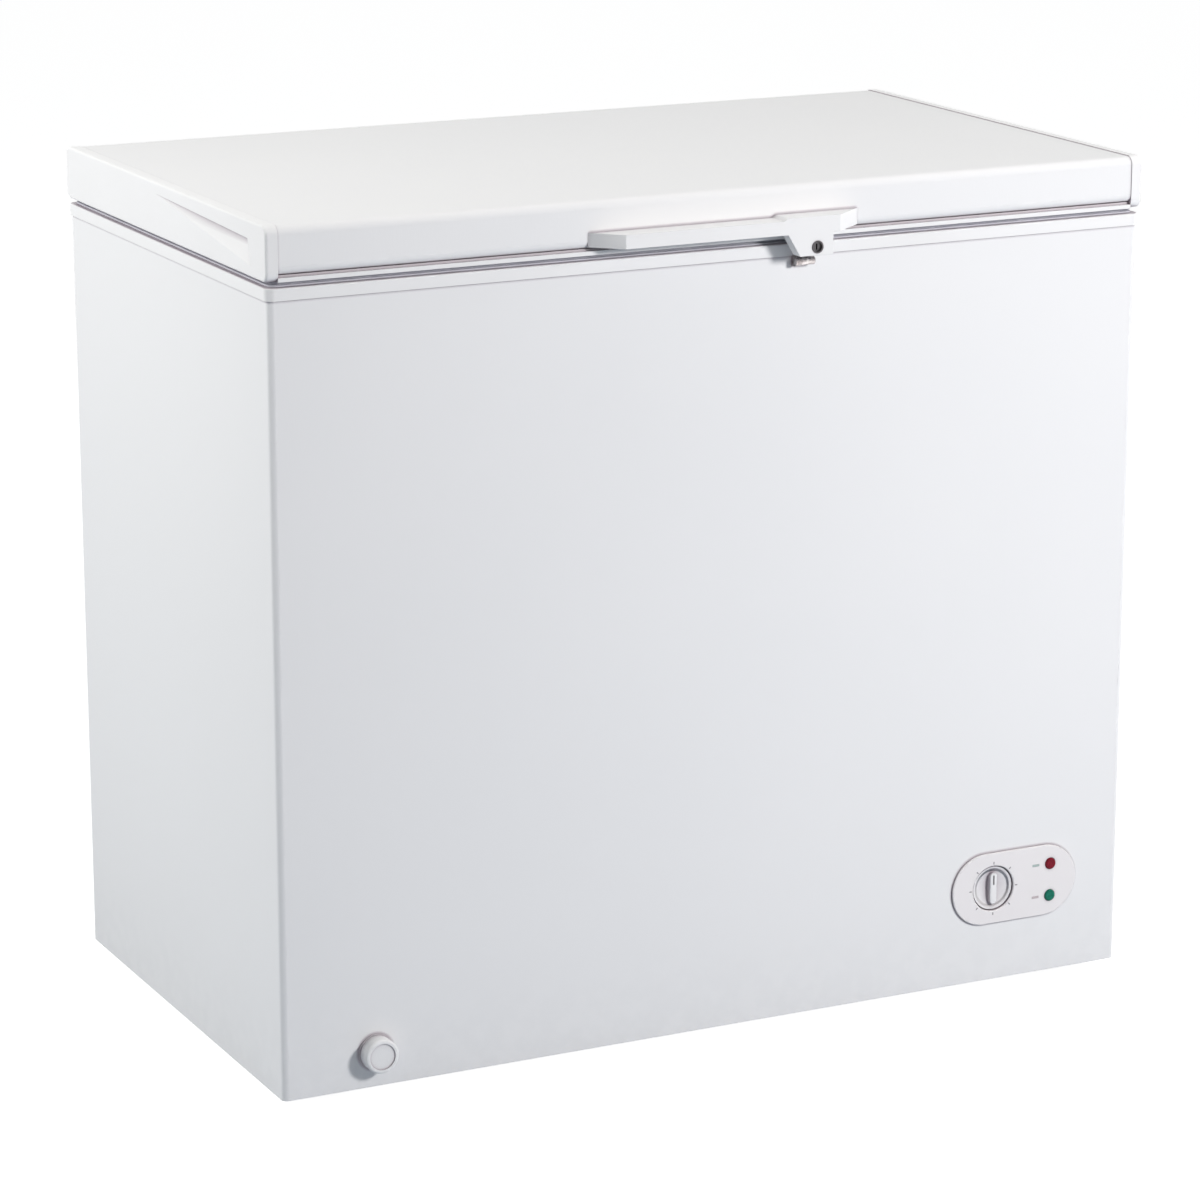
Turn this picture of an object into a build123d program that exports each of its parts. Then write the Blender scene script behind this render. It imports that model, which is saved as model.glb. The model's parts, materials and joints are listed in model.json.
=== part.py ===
from build123d import *
import os
from math import cos, sin, sqrt, tau

# Chest freezer, in millimetres: +Z up, the front faces -Y, +X is to the right seen from the front.
# The origin lies on the floor, in the middle of the whole outline.

# Cabinet
cabinet_width = 925.0
cabinet_depth = 525.0
shell_height = 766.0  # steel that shows between the floor gap and the frame band
foot_height = 15.0
foot_radius = 22.0
foot_inset = 58.0  # foot axis from the cabinet sides
foot_taper = 3.0
wall = 60.0  # outer steel face to inner liner face
floor_build = 65.0  # underside of the base to the liner floor
sheet = 0.8  # painted steel
tray_sheet = 1.5  # bent plate that carries the compressor
tray_flange = 12.0
corner_radius = 6.0  # upright bends of the wrap
back_flange = 15.0  # turned-in rear edges of the wrap
fit_gap = 0.3  # between pieces that fit beside or into each other

# Top frame
frame_band = 12.0
frame_proud = 2.0
frame_wall = 3.0
frame_edge = 1.5  # rounding of its upper edges
ledge_width = 16.0
ledge_drop = 9.0
lip_proud = 2.0
lip_depth = 11.0

# Inner liner and compressor bay
liner_sheet = 1.0
liner_radius = 18.0
step_width = 235.0
step_height = 220.0
bay_insulation = 50.0

# Lid
lid_overhang = 2.5  # lid beyond the cabinet, all round
lid_height = 52.0
lid_gap = 5.0  # frame top to lid underside
lid_sheet = 0.8
lid_bend = 8.0  # rounded front and rear top edges
strip_height = 4.0
groove_height = 2.0
groove_depth = 4.0
hem_width = 10.0
cap_width = 12.0
cap_proud = 0.8
cap_tongue = 8.0
cap_edge = 2.5
panel_wall = 3.0
plug_clear = 15.5  # plug to the frame lip
plug_drop = 8.0
plug_radius = 30.0
plug_edge = 4.0

# Finger scoop in each lid end, measured from the lid front and the lid underside
scoop_rear = 277.0
scoop_front = 43.0
scoop_toe = 35.5
scoop_rear_height = 41.0
scoop_front_height = 35.0
scoop_toe_height = 10.5
scoop_depth = 9.0

# Gasket
gasket_inset = 5.5
gasket_width = 20.0
gasket_lip = 1.5
gasket_waist = 4.0
gasket_radius = 8.0
gasket_gap = 0.2

# Handle and lock
handle_length = 287.0
handle_proud = 26.0
handle_rise = 8.0  # lid underside to bar underside
bar_height = 13.5
bar_front_wall = 5.0
bar_roof = 2.5
bar_back_wall = 3.0
left_bevel = 27.0
right_bevel = 33.0
handle_edge = 1.5
pad_start = 54.0  # where the raised lock pad begins, from the middle of the lid
pad_rise = 2.5
pad_ramp = 4.0  # slope up to the pad
pad_roof = 2.0
cam_room = 12.0  # hollow in the pad, each side of the lock axis
tongue_left = 54.5
tongue_right = 103.0
tongue_slant = 13.0
tongue_drop = 21.5
lock_x = 86.0
lock_drop = 13.5  # bar underside to lock axis
barrel_radius = 6.0
barrel_flange = 0.6
plug_core_radius = 4.6
plug_sink = 2.5  # key face behind the barrel face
turn_fit = 0.05  # radial clearance of everything that turns in a bore
key_slot_length = 6.0
key_slot_width = 1.4
key_slot_depth = 8.0
tail_radius = 3.2
cam_thickness = 2.6
cam_width = 8.0
cam_hub_radius = 6.5
cam_finger_height = 2.4
cam_gap = 0.8

# Strike under the frame band
strike_drop = 5.0  # frame underside to pin axis
strike_reach = 6.4  # cabinet front to pin axis
strike_pin_radius = 4.0
strike_pin_length = 18.0
strike_pin_past = 8.0  # how far the pin runs past the lock axis
strike_ear = 3.0
strike_ear_rim = 0.6  # ear beyond the pin, all round
strike_plate = 1.6
strike_plate_height = 10.0
strike_plate_width = 15.0
strike_plate_edge = 1.2
strike_screw_radius = 1.5
strike_screw_head = 0.4
strike_screw_pitch = 5.0

# Hinges
hinge_spacing = 540.0
hinge_length = 70.0
knuckle_radius = 8.0
knuckle_length = 12.0
lid_knuckle_length = 14.0
knuckle_gap = 0.5
hinge_clear = 1.0
pin_radius = 4.5
pin_seat = 0.02
pin_head_radius = 6.5
pin_head = 2.5
leaf_thickness = 3.0
cabinet_leaf_height = 70.0
leaf_bend = 30.0  # frame underside to where the cabinet leaf turns out
lid_leaf_height = 38.0
rivet_head_radius = 5.0
rivet_head = 2.0
rivet_pitch = 46.0
rivet_rows = 40.0
rivet_margin = 12.0
spring_wire = 1.5  # radius of the wire
spring_turns = 4
spring_turn_gap = 0.6

# Control panel
panel_width = 145.0
panel_height = 75.0
panel_margin = 52.0  # panel end to the right edge of the cabinet
panel_rise = 98.0  # panel middle above the shell underside
panel_lap = 9.0
bezel_proud = 3.0
bezel_undercut = 0.8  # shadow gap behind its rim
bezel_edge = 1.2
boss_depth = 10.0
knob_shift = 25.0  # knob axis left of the panel middle
lamp_shift = 42.0  # lamp axes right of the panel middle
lamp_pitch = 34.0
lamp_radius = 6.0
lamp_dome = 2.0
lamp_shoulder = 2.0
lamp_tail = 12.0
well_radius = 24.5
well_bevel = 0.8  # sloped edge of the well
well_depth = 9.0
knob_gap = 1.2
knob_float = 0.5  # space under the knob
knob_sink = 2.2  # knob rim behind the bezel face
knob_rim = 3.2
knob_step = 1.0  # straight wall inside the rim
knob_dish = 2.8  # hollow below that wall
grip_width = 8.0
grip_inset = 2.5  # grip end to the edge of the dish
grip_proud = 0.5  # grip in front of the bezel
grip_edge = 1.5
pointer_width = 1.6
pointer_length = 10.0
pointer_inset = 3.0  # pointer to the end of the grip
pointer_depth = 0.6
shaft_radius = 3.0
shaft_in_knob = 7.0
shaft_in_body = 14.0
thermostat_width = 44.0
thermostat_height = 34.0
thermostat_depth = 24.0
bush_radius = 5.0

# Drain
drain_margin = 95.0  # drain axis from the left edge of the cabinet
drain_rise = 35.0  # drain axis above the shell underside
drain_bore = 9.0
drain_wall = 2.0
drain_back = 95.0  # floor hole behind the cabinet front
drain_bend = 17.0
neck_radius = 12.0
neck_out = 13.0
neck_in = 12.0
spout_flange = 2.5
spout_flange_radius = 18.0
drain_cap_radius = 17.0
drain_cap_wall = 4.0
drain_cap_edge = 2.5
drain_cap_dish = 1.2
drain_cap_rim = 4.0
drain_plug_head = 4.0
drain_plug_head_radius = 16.0
drain_plug_stem = 14.0
drain_plug_fit = 0.4
drain_plug_taper = 1.0

# Compressor
compressor_length = 160.0
compressor_width = 128.0
compressor_flat = 12.0  # straight part of its ends
lower_shell_height = 75.0
upper_shell_height = 88.0
shell_lap = 3.0  # how far the upper shell stands out over the lower one
lower_shell_round = 24.0
upper_shell_round = 38.0
compressor_back = 95.0  # its middle behind the middle of the cabinet
compressor_shift = 10.0  # its middle left of the middle of the bay
legs_sheet = 3.0
legs_length = 190.0
legs_width = 120.0
legs_corner = 12.0
mount_height = 24.0
mount_radius = 13.0
mount_pitch_x = 160.0
mount_pitch_y = 90.0
bolt_radius = 4.0
bolt_head_radius = 9.0
bolt_head = 4.0
stub_radius = 6.0
stub_length = 10.0
stub_rise = 55.0
suction_stub_x = -35.0
discharge_stub_x = 30.0
relay_width = 50.0
relay_height = 46.0
relay_reach = 30.0
relay_x = 30.0
relay_edge = 4.0

# Refrigerant circuit
evaporator_tube = 4.0  # radii of the tubes
condenser_tube = 2.5
capillary = 1.2
sensor = 1.5
loom = 3.5
evaporator_loops = 5
evaporator_margin = 40.0
suction_y = -40.0  # tube legs, from the middle of the cabinet
inlet_y = -90.0
leg_step = 14.0
leg_drop = 20.0
condenser_runs = 4
condenser_margin = 60.0
condenser_bend = 25.0
condenser_return = 40.0
condenser_side = 38.0  # inlet leg from the right edge of the cabinet
jog_drop = 30.0
jog_forward = 50.0
tube_bend = 13.0
drier_radius = 9.5
drier_length = 90.0
drier_cone = 12.0
drier_lead = 25.0
capillary_dip = 20.0
loom_forward = 120.0
loom_drop = 15.0
loom_shift = 12.0
sensor_shift = 12.0
sensor_back = 30.0

# Hidden covers
cover_sheet = 1.2
cover_lap = 10.0
cover_inset = 10.0
cover_slots_across = 2
cover_slots_down = 7
slot_height = 6.0
slot_length = 66.0
slot_pitch = 17.0
slot_spacing = 92.0
vent_length = 220.0
vent_height = 92.0
vent_rise = 110.0
vent_back = 60.0
vent_flange = 1.5
vent_lap = 6.0
vent_depth = 4.0
vent_bars = 11
vent_slot = 9.0
vent_edge = 8.0
gland_bore = 4.0
gland_wall = 3.0
gland_flange_radius = 11.0
gland_flange = 3.0
gland_out = 5.0
gland_in = 8.0
gland_side = 34.0
gland_rise = 34.0

# Basket
basket_width = 210.0
basket_height = 190.0
basket_clear = 6.0  # wires from the frame lip and the liner ends
basket_hang = 13.0  # rim axis below the ledge
rim_wire = 3.0  # radii of the wires
wire = 2.0
basket_corner = 20.0
hanger_width = 110.0
hanger_reach = 12.0
hanger_bend = 7.0
wires_along = 5
wires_across = 7

# Heights
base_z = foot_height
frame_z = base_z + shell_height
frame_top = frame_z + frame_band
channel_roof = frame_top - frame_wall
ledge_top = frame_top - ledge_drop
liner_top = ledge_top - frame_wall
floor_z = base_z + floor_build
step_z = floor_z + step_height
bay_roof = step_z - liner_sheet - bay_insulation
lid_bottom = frame_top + lid_gap
lid_top = lid_bottom + lid_height
groove_z = lid_bottom + strip_height
panel_top = groove_z + groove_height
bar_z = lid_bottom + handle_rise
lock_z = bar_z - lock_drop
strike_z = frame_z - strike_drop
panel_z = base_z + panel_rise
drain_z = base_z + drain_rise

# Depths: the middle of the cabinet is set so that the whole outline is centred on the origin
spring_radius = knuckle_radius - spring_wire
body_y = (handle_proud - cap_proud - hinge_clear - 2 * knuckle_radius) / 2
lid_width = cabinet_width + 2 * lid_overhang
lid_depth = cabinet_depth + 2 * lid_overhang
shell_front = body_y - cabinet_depth / 2
shell_back = body_y + cabinet_depth / 2
back_face = shell_back - sheet
lid_front = body_y - lid_depth / 2
lid_rear = body_y + lid_depth / 2
steel_front = lid_front + cap_proud
steel_rear = lid_rear - cap_proud
handle_front = steel_front - handle_proud
strike_y = shell_front - strike_reach
cam_back = strike_y - strike_pin_radius - cam_gap
cam_front = cam_back - cam_thickness
tongue_back = cam_front - fit_gap
tongue_depth = tongue_back - handle_front
pivot_y = lid_rear + hinge_clear + knuckle_radius
pivot_z = frame_top + lid_gap / 2 - spring_radius

# Room inside the wrap and the back panel
inside_front = shell_front + sheet + fit_gap
inside_back = back_face - sheet - fit_gap
inside_depth = inside_back - inside_front
inside_y = (inside_front + inside_back) / 2
inside_half = cabinet_width / 2 - sheet - fit_gap
inside_radius = corner_radius - sheet
cavity_width = cabinet_width - 2 * wall
cavity_depth = cabinet_depth - 2 * wall
step_x = cavity_width / 2 - step_width
bay_x = step_x + liner_sheet + bay_insulation
lip_inset = wall + lip_proud
ledge_inset = lip_inset - ledge_width
plug_inset = lip_inset + plug_clear + lid_overhang

# Places on the front
panel_x = cabinet_width / 2 - panel_margin - panel_width / 2
knob_x = panel_x - knob_shift
lamp_x = panel_x + lamp_shift
bezel_front = shell_front - bezel_proud
boss_back = shell_front + boss_depth
drain_x = drain_margin - cabinet_width / 2
drain_y = shell_front + drain_back

# Places in the bay
tray_top = base_z + tray_sheet
compressor_x = (bay_x + inside_half) / 2 - compressor_shift
compressor_y = body_y + compressor_back
compressor_corner = (compressor_width - compressor_flat) / 2
legs_z = tray_top + mount_height
shell_z = legs_z + legs_sheet
seam_z = shell_z + lower_shell_height
stub_z = shell_z + stub_rise
leg_z = bay_roof - leg_drop
coil_x = cavity_width / 2 + liner_sheet + fit_gap + evaporator_tube
coil_y = cavity_depth / 2 + liner_sheet + fit_gap + evaporator_tube
coil_bend = liner_radius + liner_sheet + fit_gap + evaporator_tube
coil_low = step_z + evaporator_margin
coil_high = liner_top - evaporator_margin
suction_leg_y = body_y + suction_y
inlet_leg_y = body_y + inlet_y
inlet_leg_x = coil_x + leg_step
condenser_y = back_face - sheet - fit_gap - condenser_tube
condenser_in_x = cabinet_width / 2 - condenser_side
condenser_out_x = condenser_in_x - condenser_return
condenser_high = channel_roof - condenser_margin
condenser_low = bay_roof + condenser_margin
drier_y = condenser_y - jog_forward
drier_top = bay_roof - jog_drop - drier_lead
drier_bottom = drier_top - drier_length
thermostat_back = boss_back + thermostat_depth
sensor_x = knob_x + sensor_shift
sensor_y = thermostat_back + sensor_back
hinge_middles = (-hinge_spacing / 2, hinge_spacing / 2)
foot_points = [
    (x * (cabinet_width / 2 - foot_inset), body_y + y * (cabinet_depth / 2 - foot_inset))
    for x in (-1, 1)
    for y in (-1, 1)
]

os.makedirs("parts", exist_ok=True)


def save(piece, name):
    """Label a finished piece and write it under its own name."""
    piece.part.label = name
    export_step(piece.part, f"parts/{name}.step")


def front_plane(y):
    """Upright plane at a depth y, facing the front, with X across and Z up."""
    return Plane.XZ.offset(-y)


def ring_sketch(z, outer_inset, outer_radius, inner_inset, inner_radius):
    """Rounded ring at height z, between two insets from the cabinet's outer faces."""
    with BuildSketch(Plane.XY.offset(z)) as ring:
        with Locations((0, body_y)):
            RectangleRounded(cabinet_width - 2 * outer_inset, cabinet_depth - 2 * outer_inset, outer_radius)
            RectangleRounded(
                cabinet_width - 2 * inner_inset,
                cabinet_depth - 2 * inner_inset,
                inner_radius,
                mode=Mode.SUBTRACT,
            )
    return ring.sketch


def liner_corner(inset):
    """Corner radius that keeps an inner ring parallel to the liner."""
    return liner_radius + wall - inset


def cavity_block(grow, top):
    """Solid that fills the liner from its floor to the height top, grown outward by grow."""
    bottom = floor_z - grow
    side = step_x + grow
    with BuildPart() as block:
        with BuildSketch(Plane.XY.offset(bottom)):
            with Locations((0, body_y)):
                RectangleRounded(cavity_width + 2 * grow, cavity_depth + 2 * grow, liner_radius + grow)
        extrude(amount=top - bottom)
        with BuildSketch(Plane.XY.offset(bottom)):
            with Locations((side, body_y)):
                Rectangle(step_width, cabinet_depth, align=(Align.MIN, Align.CENTER))
        extrude(amount=step_height, mode=Mode.SUBTRACT)
        step_corners = block.edges().filter_by(Axis.Z).sort_by(lambda edge: abs(edge.center().X - side))
        fillet(step_corners[:2], liner_radius + grow)
    return block.part


def tube(points, bend, radius):
    """Round tube along straight runs joined by tangent bends."""
    with BuildPart() as swept:
        with BuildLine() as path:
            FilletPolyline(*points, radius=bend)
        with BuildSketch(Plane(origin=path.line @ 0, z_dir=path.line % 0)):
            Circle(radius)
        sweep()
    return swept


# Cabinet wrap: one sheet bent round the front and both sides, turned in at the rear edges
with BuildPart() as cabinet_wrap:
    with BuildSketch(Plane.XY.offset(base_z)):
        with Locations((0, body_y)):
            RectangleRounded(cabinet_width, cabinet_depth, corner_radius)
            RectangleRounded(
                cabinet_width - 2 * sheet, cabinet_depth - 2 * sheet, inside_radius, mode=Mode.SUBTRACT
            )
        with Locations((0, shell_back)):
            Rectangle(cabinet_width - 2 * back_flange, 4 * sheet, mode=Mode.SUBTRACT)
    extrude(amount=channel_roof - base_z)
    with BuildSketch(front_plane(shell_front)):
        with Locations((panel_x, panel_z)):
            SlotOverall(panel_width - 2 * panel_lap, panel_height - 2 * panel_lap)
        with Locations((drain_x, drain_z)):
            Circle(neck_radius + fit_gap)
    extrude(amount=-2 * sheet, mode=Mode.SUBTRACT)
    with BuildSketch(Plane.YZ.offset(cabinet_width / 2)):
        with Locations((body_y + vent_back, base_z + vent_rise)):
            Rectangle(vent_length, vent_height)
    extrude(amount=-2 * sheet, mode=Mode.SUBTRACT)
save(cabinet_wrap, "cabinet_wrap")

# Rear cover opening, shared by the back panel and the cover
cover_left = bay_x + cover_inset
cover_right = cabinet_width / 2 - back_flange - fit_gap
cover_low = base_z + cover_inset
cover_high = bay_roof - cover_inset
cover_x = (cover_left + cover_right) / 2
cover_z = (cover_low + cover_high) / 2
cover_width = cover_right - cover_left
cover_height = cover_high - cover_low

# Back panel, held behind the turned-in edges of the wrap
with BuildPart() as back_panel:
    with BuildSketch(front_plane(back_face)):
        with Locations((0, (base_z + channel_roof) / 2)):
            Rectangle(cabinet_width - 2 * corner_radius - 2 * fit_gap, channel_roof - base_z)
        with Locations((cover_x, cover_z)):
            Rectangle(cover_width - 2 * cover_lap, cover_height - 2 * cover_lap, mode=Mode.SUBTRACT)
    extrude(amount=sheet)
save(back_panel, "back_panel")

# Base pan under the insulated part
with BuildPart() as base_pan:
    with BuildSketch(Plane.XY.offset(base_z)):
        with Locations((0, inside_y)):
            RectangleRounded(2 * inside_half, inside_depth, inside_radius)
        with Locations(((bay_x - inside_half) / 2, inside_y)):
            Rectangle(inside_half + bay_x, inside_depth, mode=Mode.INTERSECT)
    extrude(amount=sheet)
save(base_pan, "base_pan")

# Compressor tray: bent plate that closes the bay below, with air slots
tray_left = bay_x + sheet + fit_gap
tray_width = inside_half - tray_left
tray_x = (tray_left + inside_half) / 2
with BuildPart() as compressor_tray:
    with BuildSketch(Plane.XY.offset(base_z)):
        with Locations((tray_x, inside_y)):
            RectangleRounded(tray_width, inside_depth, inside_radius)
    extrude(amount=tray_flange)
    with BuildSketch(Plane.XY.offset(tray_top)):
        with Locations((tray_x, inside_y)):
            RectangleRounded(
                tray_width - 2 * tray_sheet, inside_depth - 2 * tray_sheet, inside_radius - tray_sheet
            )
    extrude(amount=tray_flange, mode=Mode.SUBTRACT)
    with BuildSketch(Plane.XY.offset(base_z)):
        with Locations((tray_x, body_y - compressor_back)):
            with GridLocations(0, slot_pitch, 1, 6):
                SlotOverall(slot_length, slot_height)
    extrude(amount=tray_sheet, mode=Mode.SUBTRACT)
save(compressor_tray, "compressor_tray")

# Four round feet
with BuildPart() as feet:
    with Locations(*[(x, y, 0) for x, y in foot_points]):
        Cylinder(foot_radius, foot_height, align=(Align.CENTER, Align.CENTER, Align.MIN))
    chamfer(feet.edges().group_by(Axis.Z)[-1], foot_taper)
save(feet, "feet")

# Top frame: moulded collar over the wall tops, with a sunk ledge for the basket
with BuildPart() as top_frame:
    ring = ring_sketch(
        frame_z, -frame_proud, corner_radius + frame_proud, ledge_inset, liner_corner(ledge_inset)
    )
    extrude(ring, amount=frame_band)
    fillet(top_frame.faces().sort_by(Axis.Z)[-1].edges(), frame_edge)
    ring = ring_sketch(
        frame_z, 0, corner_radius, ledge_inset - frame_wall, liner_corner(ledge_inset - frame_wall)
    )
    extrude(ring, amount=channel_roof - frame_z, mode=Mode.SUBTRACT)
    ring = ring_sketch(
        liner_top,
        ledge_inset - frame_wall,
        liner_corner(ledge_inset - frame_wall),
        lip_inset,
        liner_corner(lip_inset),
    )
    extrude(ring, amount=frame_wall)
    ring = ring_sketch(liner_top - lip_depth, wall, liner_corner(wall), lip_inset, liner_corner(lip_inset))
    extrude(ring, amount=lip_depth)
    with BuildSketch(front_plane(shell_back)):
        with Locations(*[(x, frame_z + frame_band / 2) for x in hinge_middles]):
            Rectangle(hinge_length + 2 * pin_head + 2 * knuckle_gap, frame_band)
    extrude(amount=-2 * frame_proud, mode=Mode.SUBTRACT)
save(top_frame, "top_frame")

# Inner liner with the step over the compressor bay
liner_outside = cavity_block(liner_sheet, liner_top)
liner_inside = cavity_block(0, lid_top)
with BuildPart() as inner_liner:
    add(liner_outside)
    add(liner_inside, mode=Mode.SUBTRACT)
    with BuildSketch(Plane.XY.offset(floor_z)):
        with Locations((drain_x, drain_y)):
            Circle(drain_bore)
    extrude(amount=-2 * liner_sheet, mode=Mode.SUBTRACT)
save(inner_liner, "inner_liner")

# Bay panel: bent sheet between the foam and the compressor bay
evaporator_legs = [(coil_x, suction_leg_y), (inlet_leg_x, inlet_leg_y)]
condenser_legs = [(condenser_in_x, condenser_y), (condenser_out_x, condenser_y)]
with BuildPart() as bay_panel:
    with BuildSketch(front_plane(inside_front)):
        with BuildLine():
            Polyline(
                (bay_x, base_z),
                (bay_x, bay_roof),
                (inside_half, bay_roof),
                (inside_half, bay_roof - sheet),
                (bay_x + sheet, bay_roof - sheet),
                (bay_x + sheet, base_z),
                close=True,
            )
        make_face()
    extrude(amount=-inside_depth)
    with BuildSketch(Plane.XY.offset(base_z)):
        with Locations((0, inside_y)):
            RectangleRounded(2 * inside_half, inside_depth, inside_radius)
    extrude(amount=bay_roof - base_z, mode=Mode.INTERSECT)
    with BuildSketch(Plane.XY.offset(bay_roof)):
        with Locations(*evaporator_legs):
            Circle(evaporator_tube + fit_gap)
        with Locations(*condenser_legs):
            Circle(condenser_tube + fit_gap)
        with Locations((sensor_x, sensor_y)):
            Circle(sensor + fit_gap)
    extrude(amount=-2 * sheet, mode=Mode.SUBTRACT)
save(bay_panel, "bay_panel")

# Corners of the evaporator tube, from its suction leg up round the liner to its inlet leg
coil_rise = (coil_high - coil_low) / (evaporator_loops - 1)
coil_points = [(coil_x, suction_leg_y, leg_z), (coil_x, suction_leg_y, coil_low)]
for loop in range(evaporator_loops):
    loop_z = coil_low + loop * coil_rise
    coil_points += [
        (coil_x, body_y + coil_y, loop_z),
        (-coil_x, body_y + coil_y, loop_z),
        (-coil_x, body_y - coil_y, loop_z),
        (coil_x, body_y - coil_y, loop_z),
    ]
coil_points += [(inlet_leg_x, inlet_leg_y, coil_high), (inlet_leg_x, inlet_leg_y, leg_z)]

# Cabinet foam between wrap and liner, with room for coils, drain and sensor
foam_core = cavity_block(liner_sheet + fit_gap, lid_top)
coil_room = 2 * evaporator_tube + 2 * fit_gap
suction_leg_room = tube(coil_points[:3], coil_bend, evaporator_tube + fit_gap).part
inlet_leg_room = tube(coil_points[-4:], coil_bend, evaporator_tube + fit_gap).part
drain_room = tube(
    [(drain_x, shell_front, drain_z), (drain_x, drain_y, drain_z), (drain_x, drain_y, floor_z)],
    drain_bend,
    neck_radius + fit_gap,
).part
with BuildPart() as cabinet_foam:
    with BuildSketch(Plane.XY.offset(base_z + sheet)):
        with Locations((0, inside_y)):
            RectangleRounded(2 * inside_half, inside_depth, inside_radius)
    extrude(amount=channel_roof - fit_gap - base_z - sheet)
    with BuildSketch(Plane.XY.offset(liner_top - fit_gap)):
        foam_step = ledge_inset - frame_wall - fit_gap
        with Locations((0, body_y)):
            RectangleRounded(
                cabinet_width - 2 * foam_step, cabinet_depth - 2 * foam_step, liner_corner(foam_step)
            )
    extrude(amount=frame_band, mode=Mode.SUBTRACT)
    add(foam_core, mode=Mode.SUBTRACT)
    with BuildSketch(front_plane(shell_front)):
        with Locations(((bay_x + cabinet_width / 2) / 2, (base_z + bay_roof) / 2)):
            Rectangle(cabinet_width / 2 - bay_x, bay_roof - base_z)
    extrude(amount=-cabinet_depth, mode=Mode.SUBTRACT)
    with BuildSketch(Plane.XY.offset(coil_low - coil_room)):
        with Locations((0, body_y)):
            RectangleRounded(
                cavity_width + 2 * liner_sheet + 2 * coil_room,
                cavity_depth + 2 * liner_sheet + 2 * coil_room,
                liner_radius + liner_sheet + coil_room,
            )
    extrude(amount=coil_high - coil_low + 2 * coil_room, mode=Mode.SUBTRACT)
    add(suction_leg_room, mode=Mode.SUBTRACT)
    add(inlet_leg_room, mode=Mode.SUBTRACT)
    add(drain_room, mode=Mode.SUBTRACT)
    with BuildSketch(Plane.XY.offset(bay_roof)):
        with Locations((sensor_x, sensor_y)):
            Circle(sensor + fit_gap)
    extrude(amount=bay_insulation, mode=Mode.SUBTRACT)
    with BuildSketch(front_plane(back_face)):
        with Locations((0, (bay_roof + condenser_high) / 2 + condenser_tube)):
            Rectangle(
                2 * (condenser_in_x + condenser_tube + fit_gap),
                condenser_high - bay_roof + 2 * (condenser_tube + fit_gap),
            )
    extrude(amount=sheet + 2 * condenser_tube + 2 * fit_gap, mode=Mode.SUBTRACT)
save(cabinet_foam, "cabinet_foam")

# Evaporator coil: one tube wound up the liner, both ends brought down into the bay
evaporator_coil = tube(coil_points, coil_bend, evaporator_tube)
save(evaporator_coil, "evaporator_coil")

# Condenser coil: runs to and fro on the inside of the back panel
condenser_rise = (condenser_high - condenser_low) / (condenser_runs - 1)
condenser_points = [
    (condenser_in_x, condenser_y, leg_z),
    (condenser_in_x, condenser_y, condenser_high),
]
for run in range(condenser_runs):
    end_x = condenser_out_x if run % 2 else -condenser_in_x
    condenser_points.append((end_x, condenser_y, condenser_high - run * condenser_rise))
    if run < condenser_runs - 1:
        condenser_points.append((end_x, condenser_y, condenser_high - (run + 1) * condenser_rise))
condenser_points += [
    (condenser_out_x, condenser_y, bay_roof - jog_drop),
    (condenser_out_x, drier_y, bay_roof - jog_drop),
    (condenser_out_x, drier_y, drier_top),
]
condenser_bends = [condenser_bend] * (len(condenser_points) - 4) + [tube_bend, tube_bend]
condenser_coil = tube(condenser_points, condenser_bends, condenser_tube)
save(condenser_coil, "condenser_coil")

# Filter drier: necked canister between condenser and capillary
with BuildPart() as filter_drier:
    with BuildSketch(Plane.XZ.offset(-drier_y)):
        with BuildLine():
            Polyline(
                (condenser_out_x, drier_bottom),
                (condenser_out_x + 2 * capillary, drier_bottom),
                (condenser_out_x + drier_radius, drier_bottom + drier_cone),
                (condenser_out_x + drier_radius, drier_top - drier_cone),
                (condenser_out_x + condenser_tube, drier_top),
                (condenser_out_x, drier_top),
                close=True,
            )
        make_face()
    revolve(axis=Axis((condenser_out_x, drier_y, 0), (0, 0, 1)))
save(filter_drier, "filter_drier")

# Capillary tube from the drier to the evaporator inlet
capillary_z = drier_bottom - capillary_dip
capillary_tube = tube(
    [
        (condenser_out_x, drier_y, drier_bottom),
        (condenser_out_x, drier_y, capillary_z),
        (inlet_leg_x, drier_y, capillary_z),
        (inlet_leg_x, inlet_leg_y, capillary_z),
        (inlet_leg_x, inlet_leg_y, leg_z),
    ],
    tube_bend,
    capillary,
)
save(capillary_tube, "capillary_tube")

# Suction and discharge tubes between the compressor and the coils
suction_x = compressor_x + suction_stub_x
suction_start = compressor_y - compressor_width / 2 - stub_length
suction_tube = tube(
    [
        (suction_x, suction_start, stub_z),
        (suction_x, suction_leg_y, stub_z),
        (coil_x, suction_leg_y, stub_z),
        (coil_x, suction_leg_y, leg_z),
    ],
    tube_bend,
    evaporator_tube,
)
save(suction_tube, "suction_tube")

discharge_x = compressor_x + discharge_stub_x
discharge_start = compressor_y + compressor_width / 2 + stub_length
discharge_tube = tube(
    [
        (discharge_x, discharge_start, stub_z),
        (discharge_x, condenser_y, stub_z),
        (condenser_in_x, condenser_y, stub_z),
        (condenser_in_x, condenser_y, leg_z),
    ],
    tube_bend,
    condenser_tube,
)
save(discharge_tube, "discharge_tube")

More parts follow.
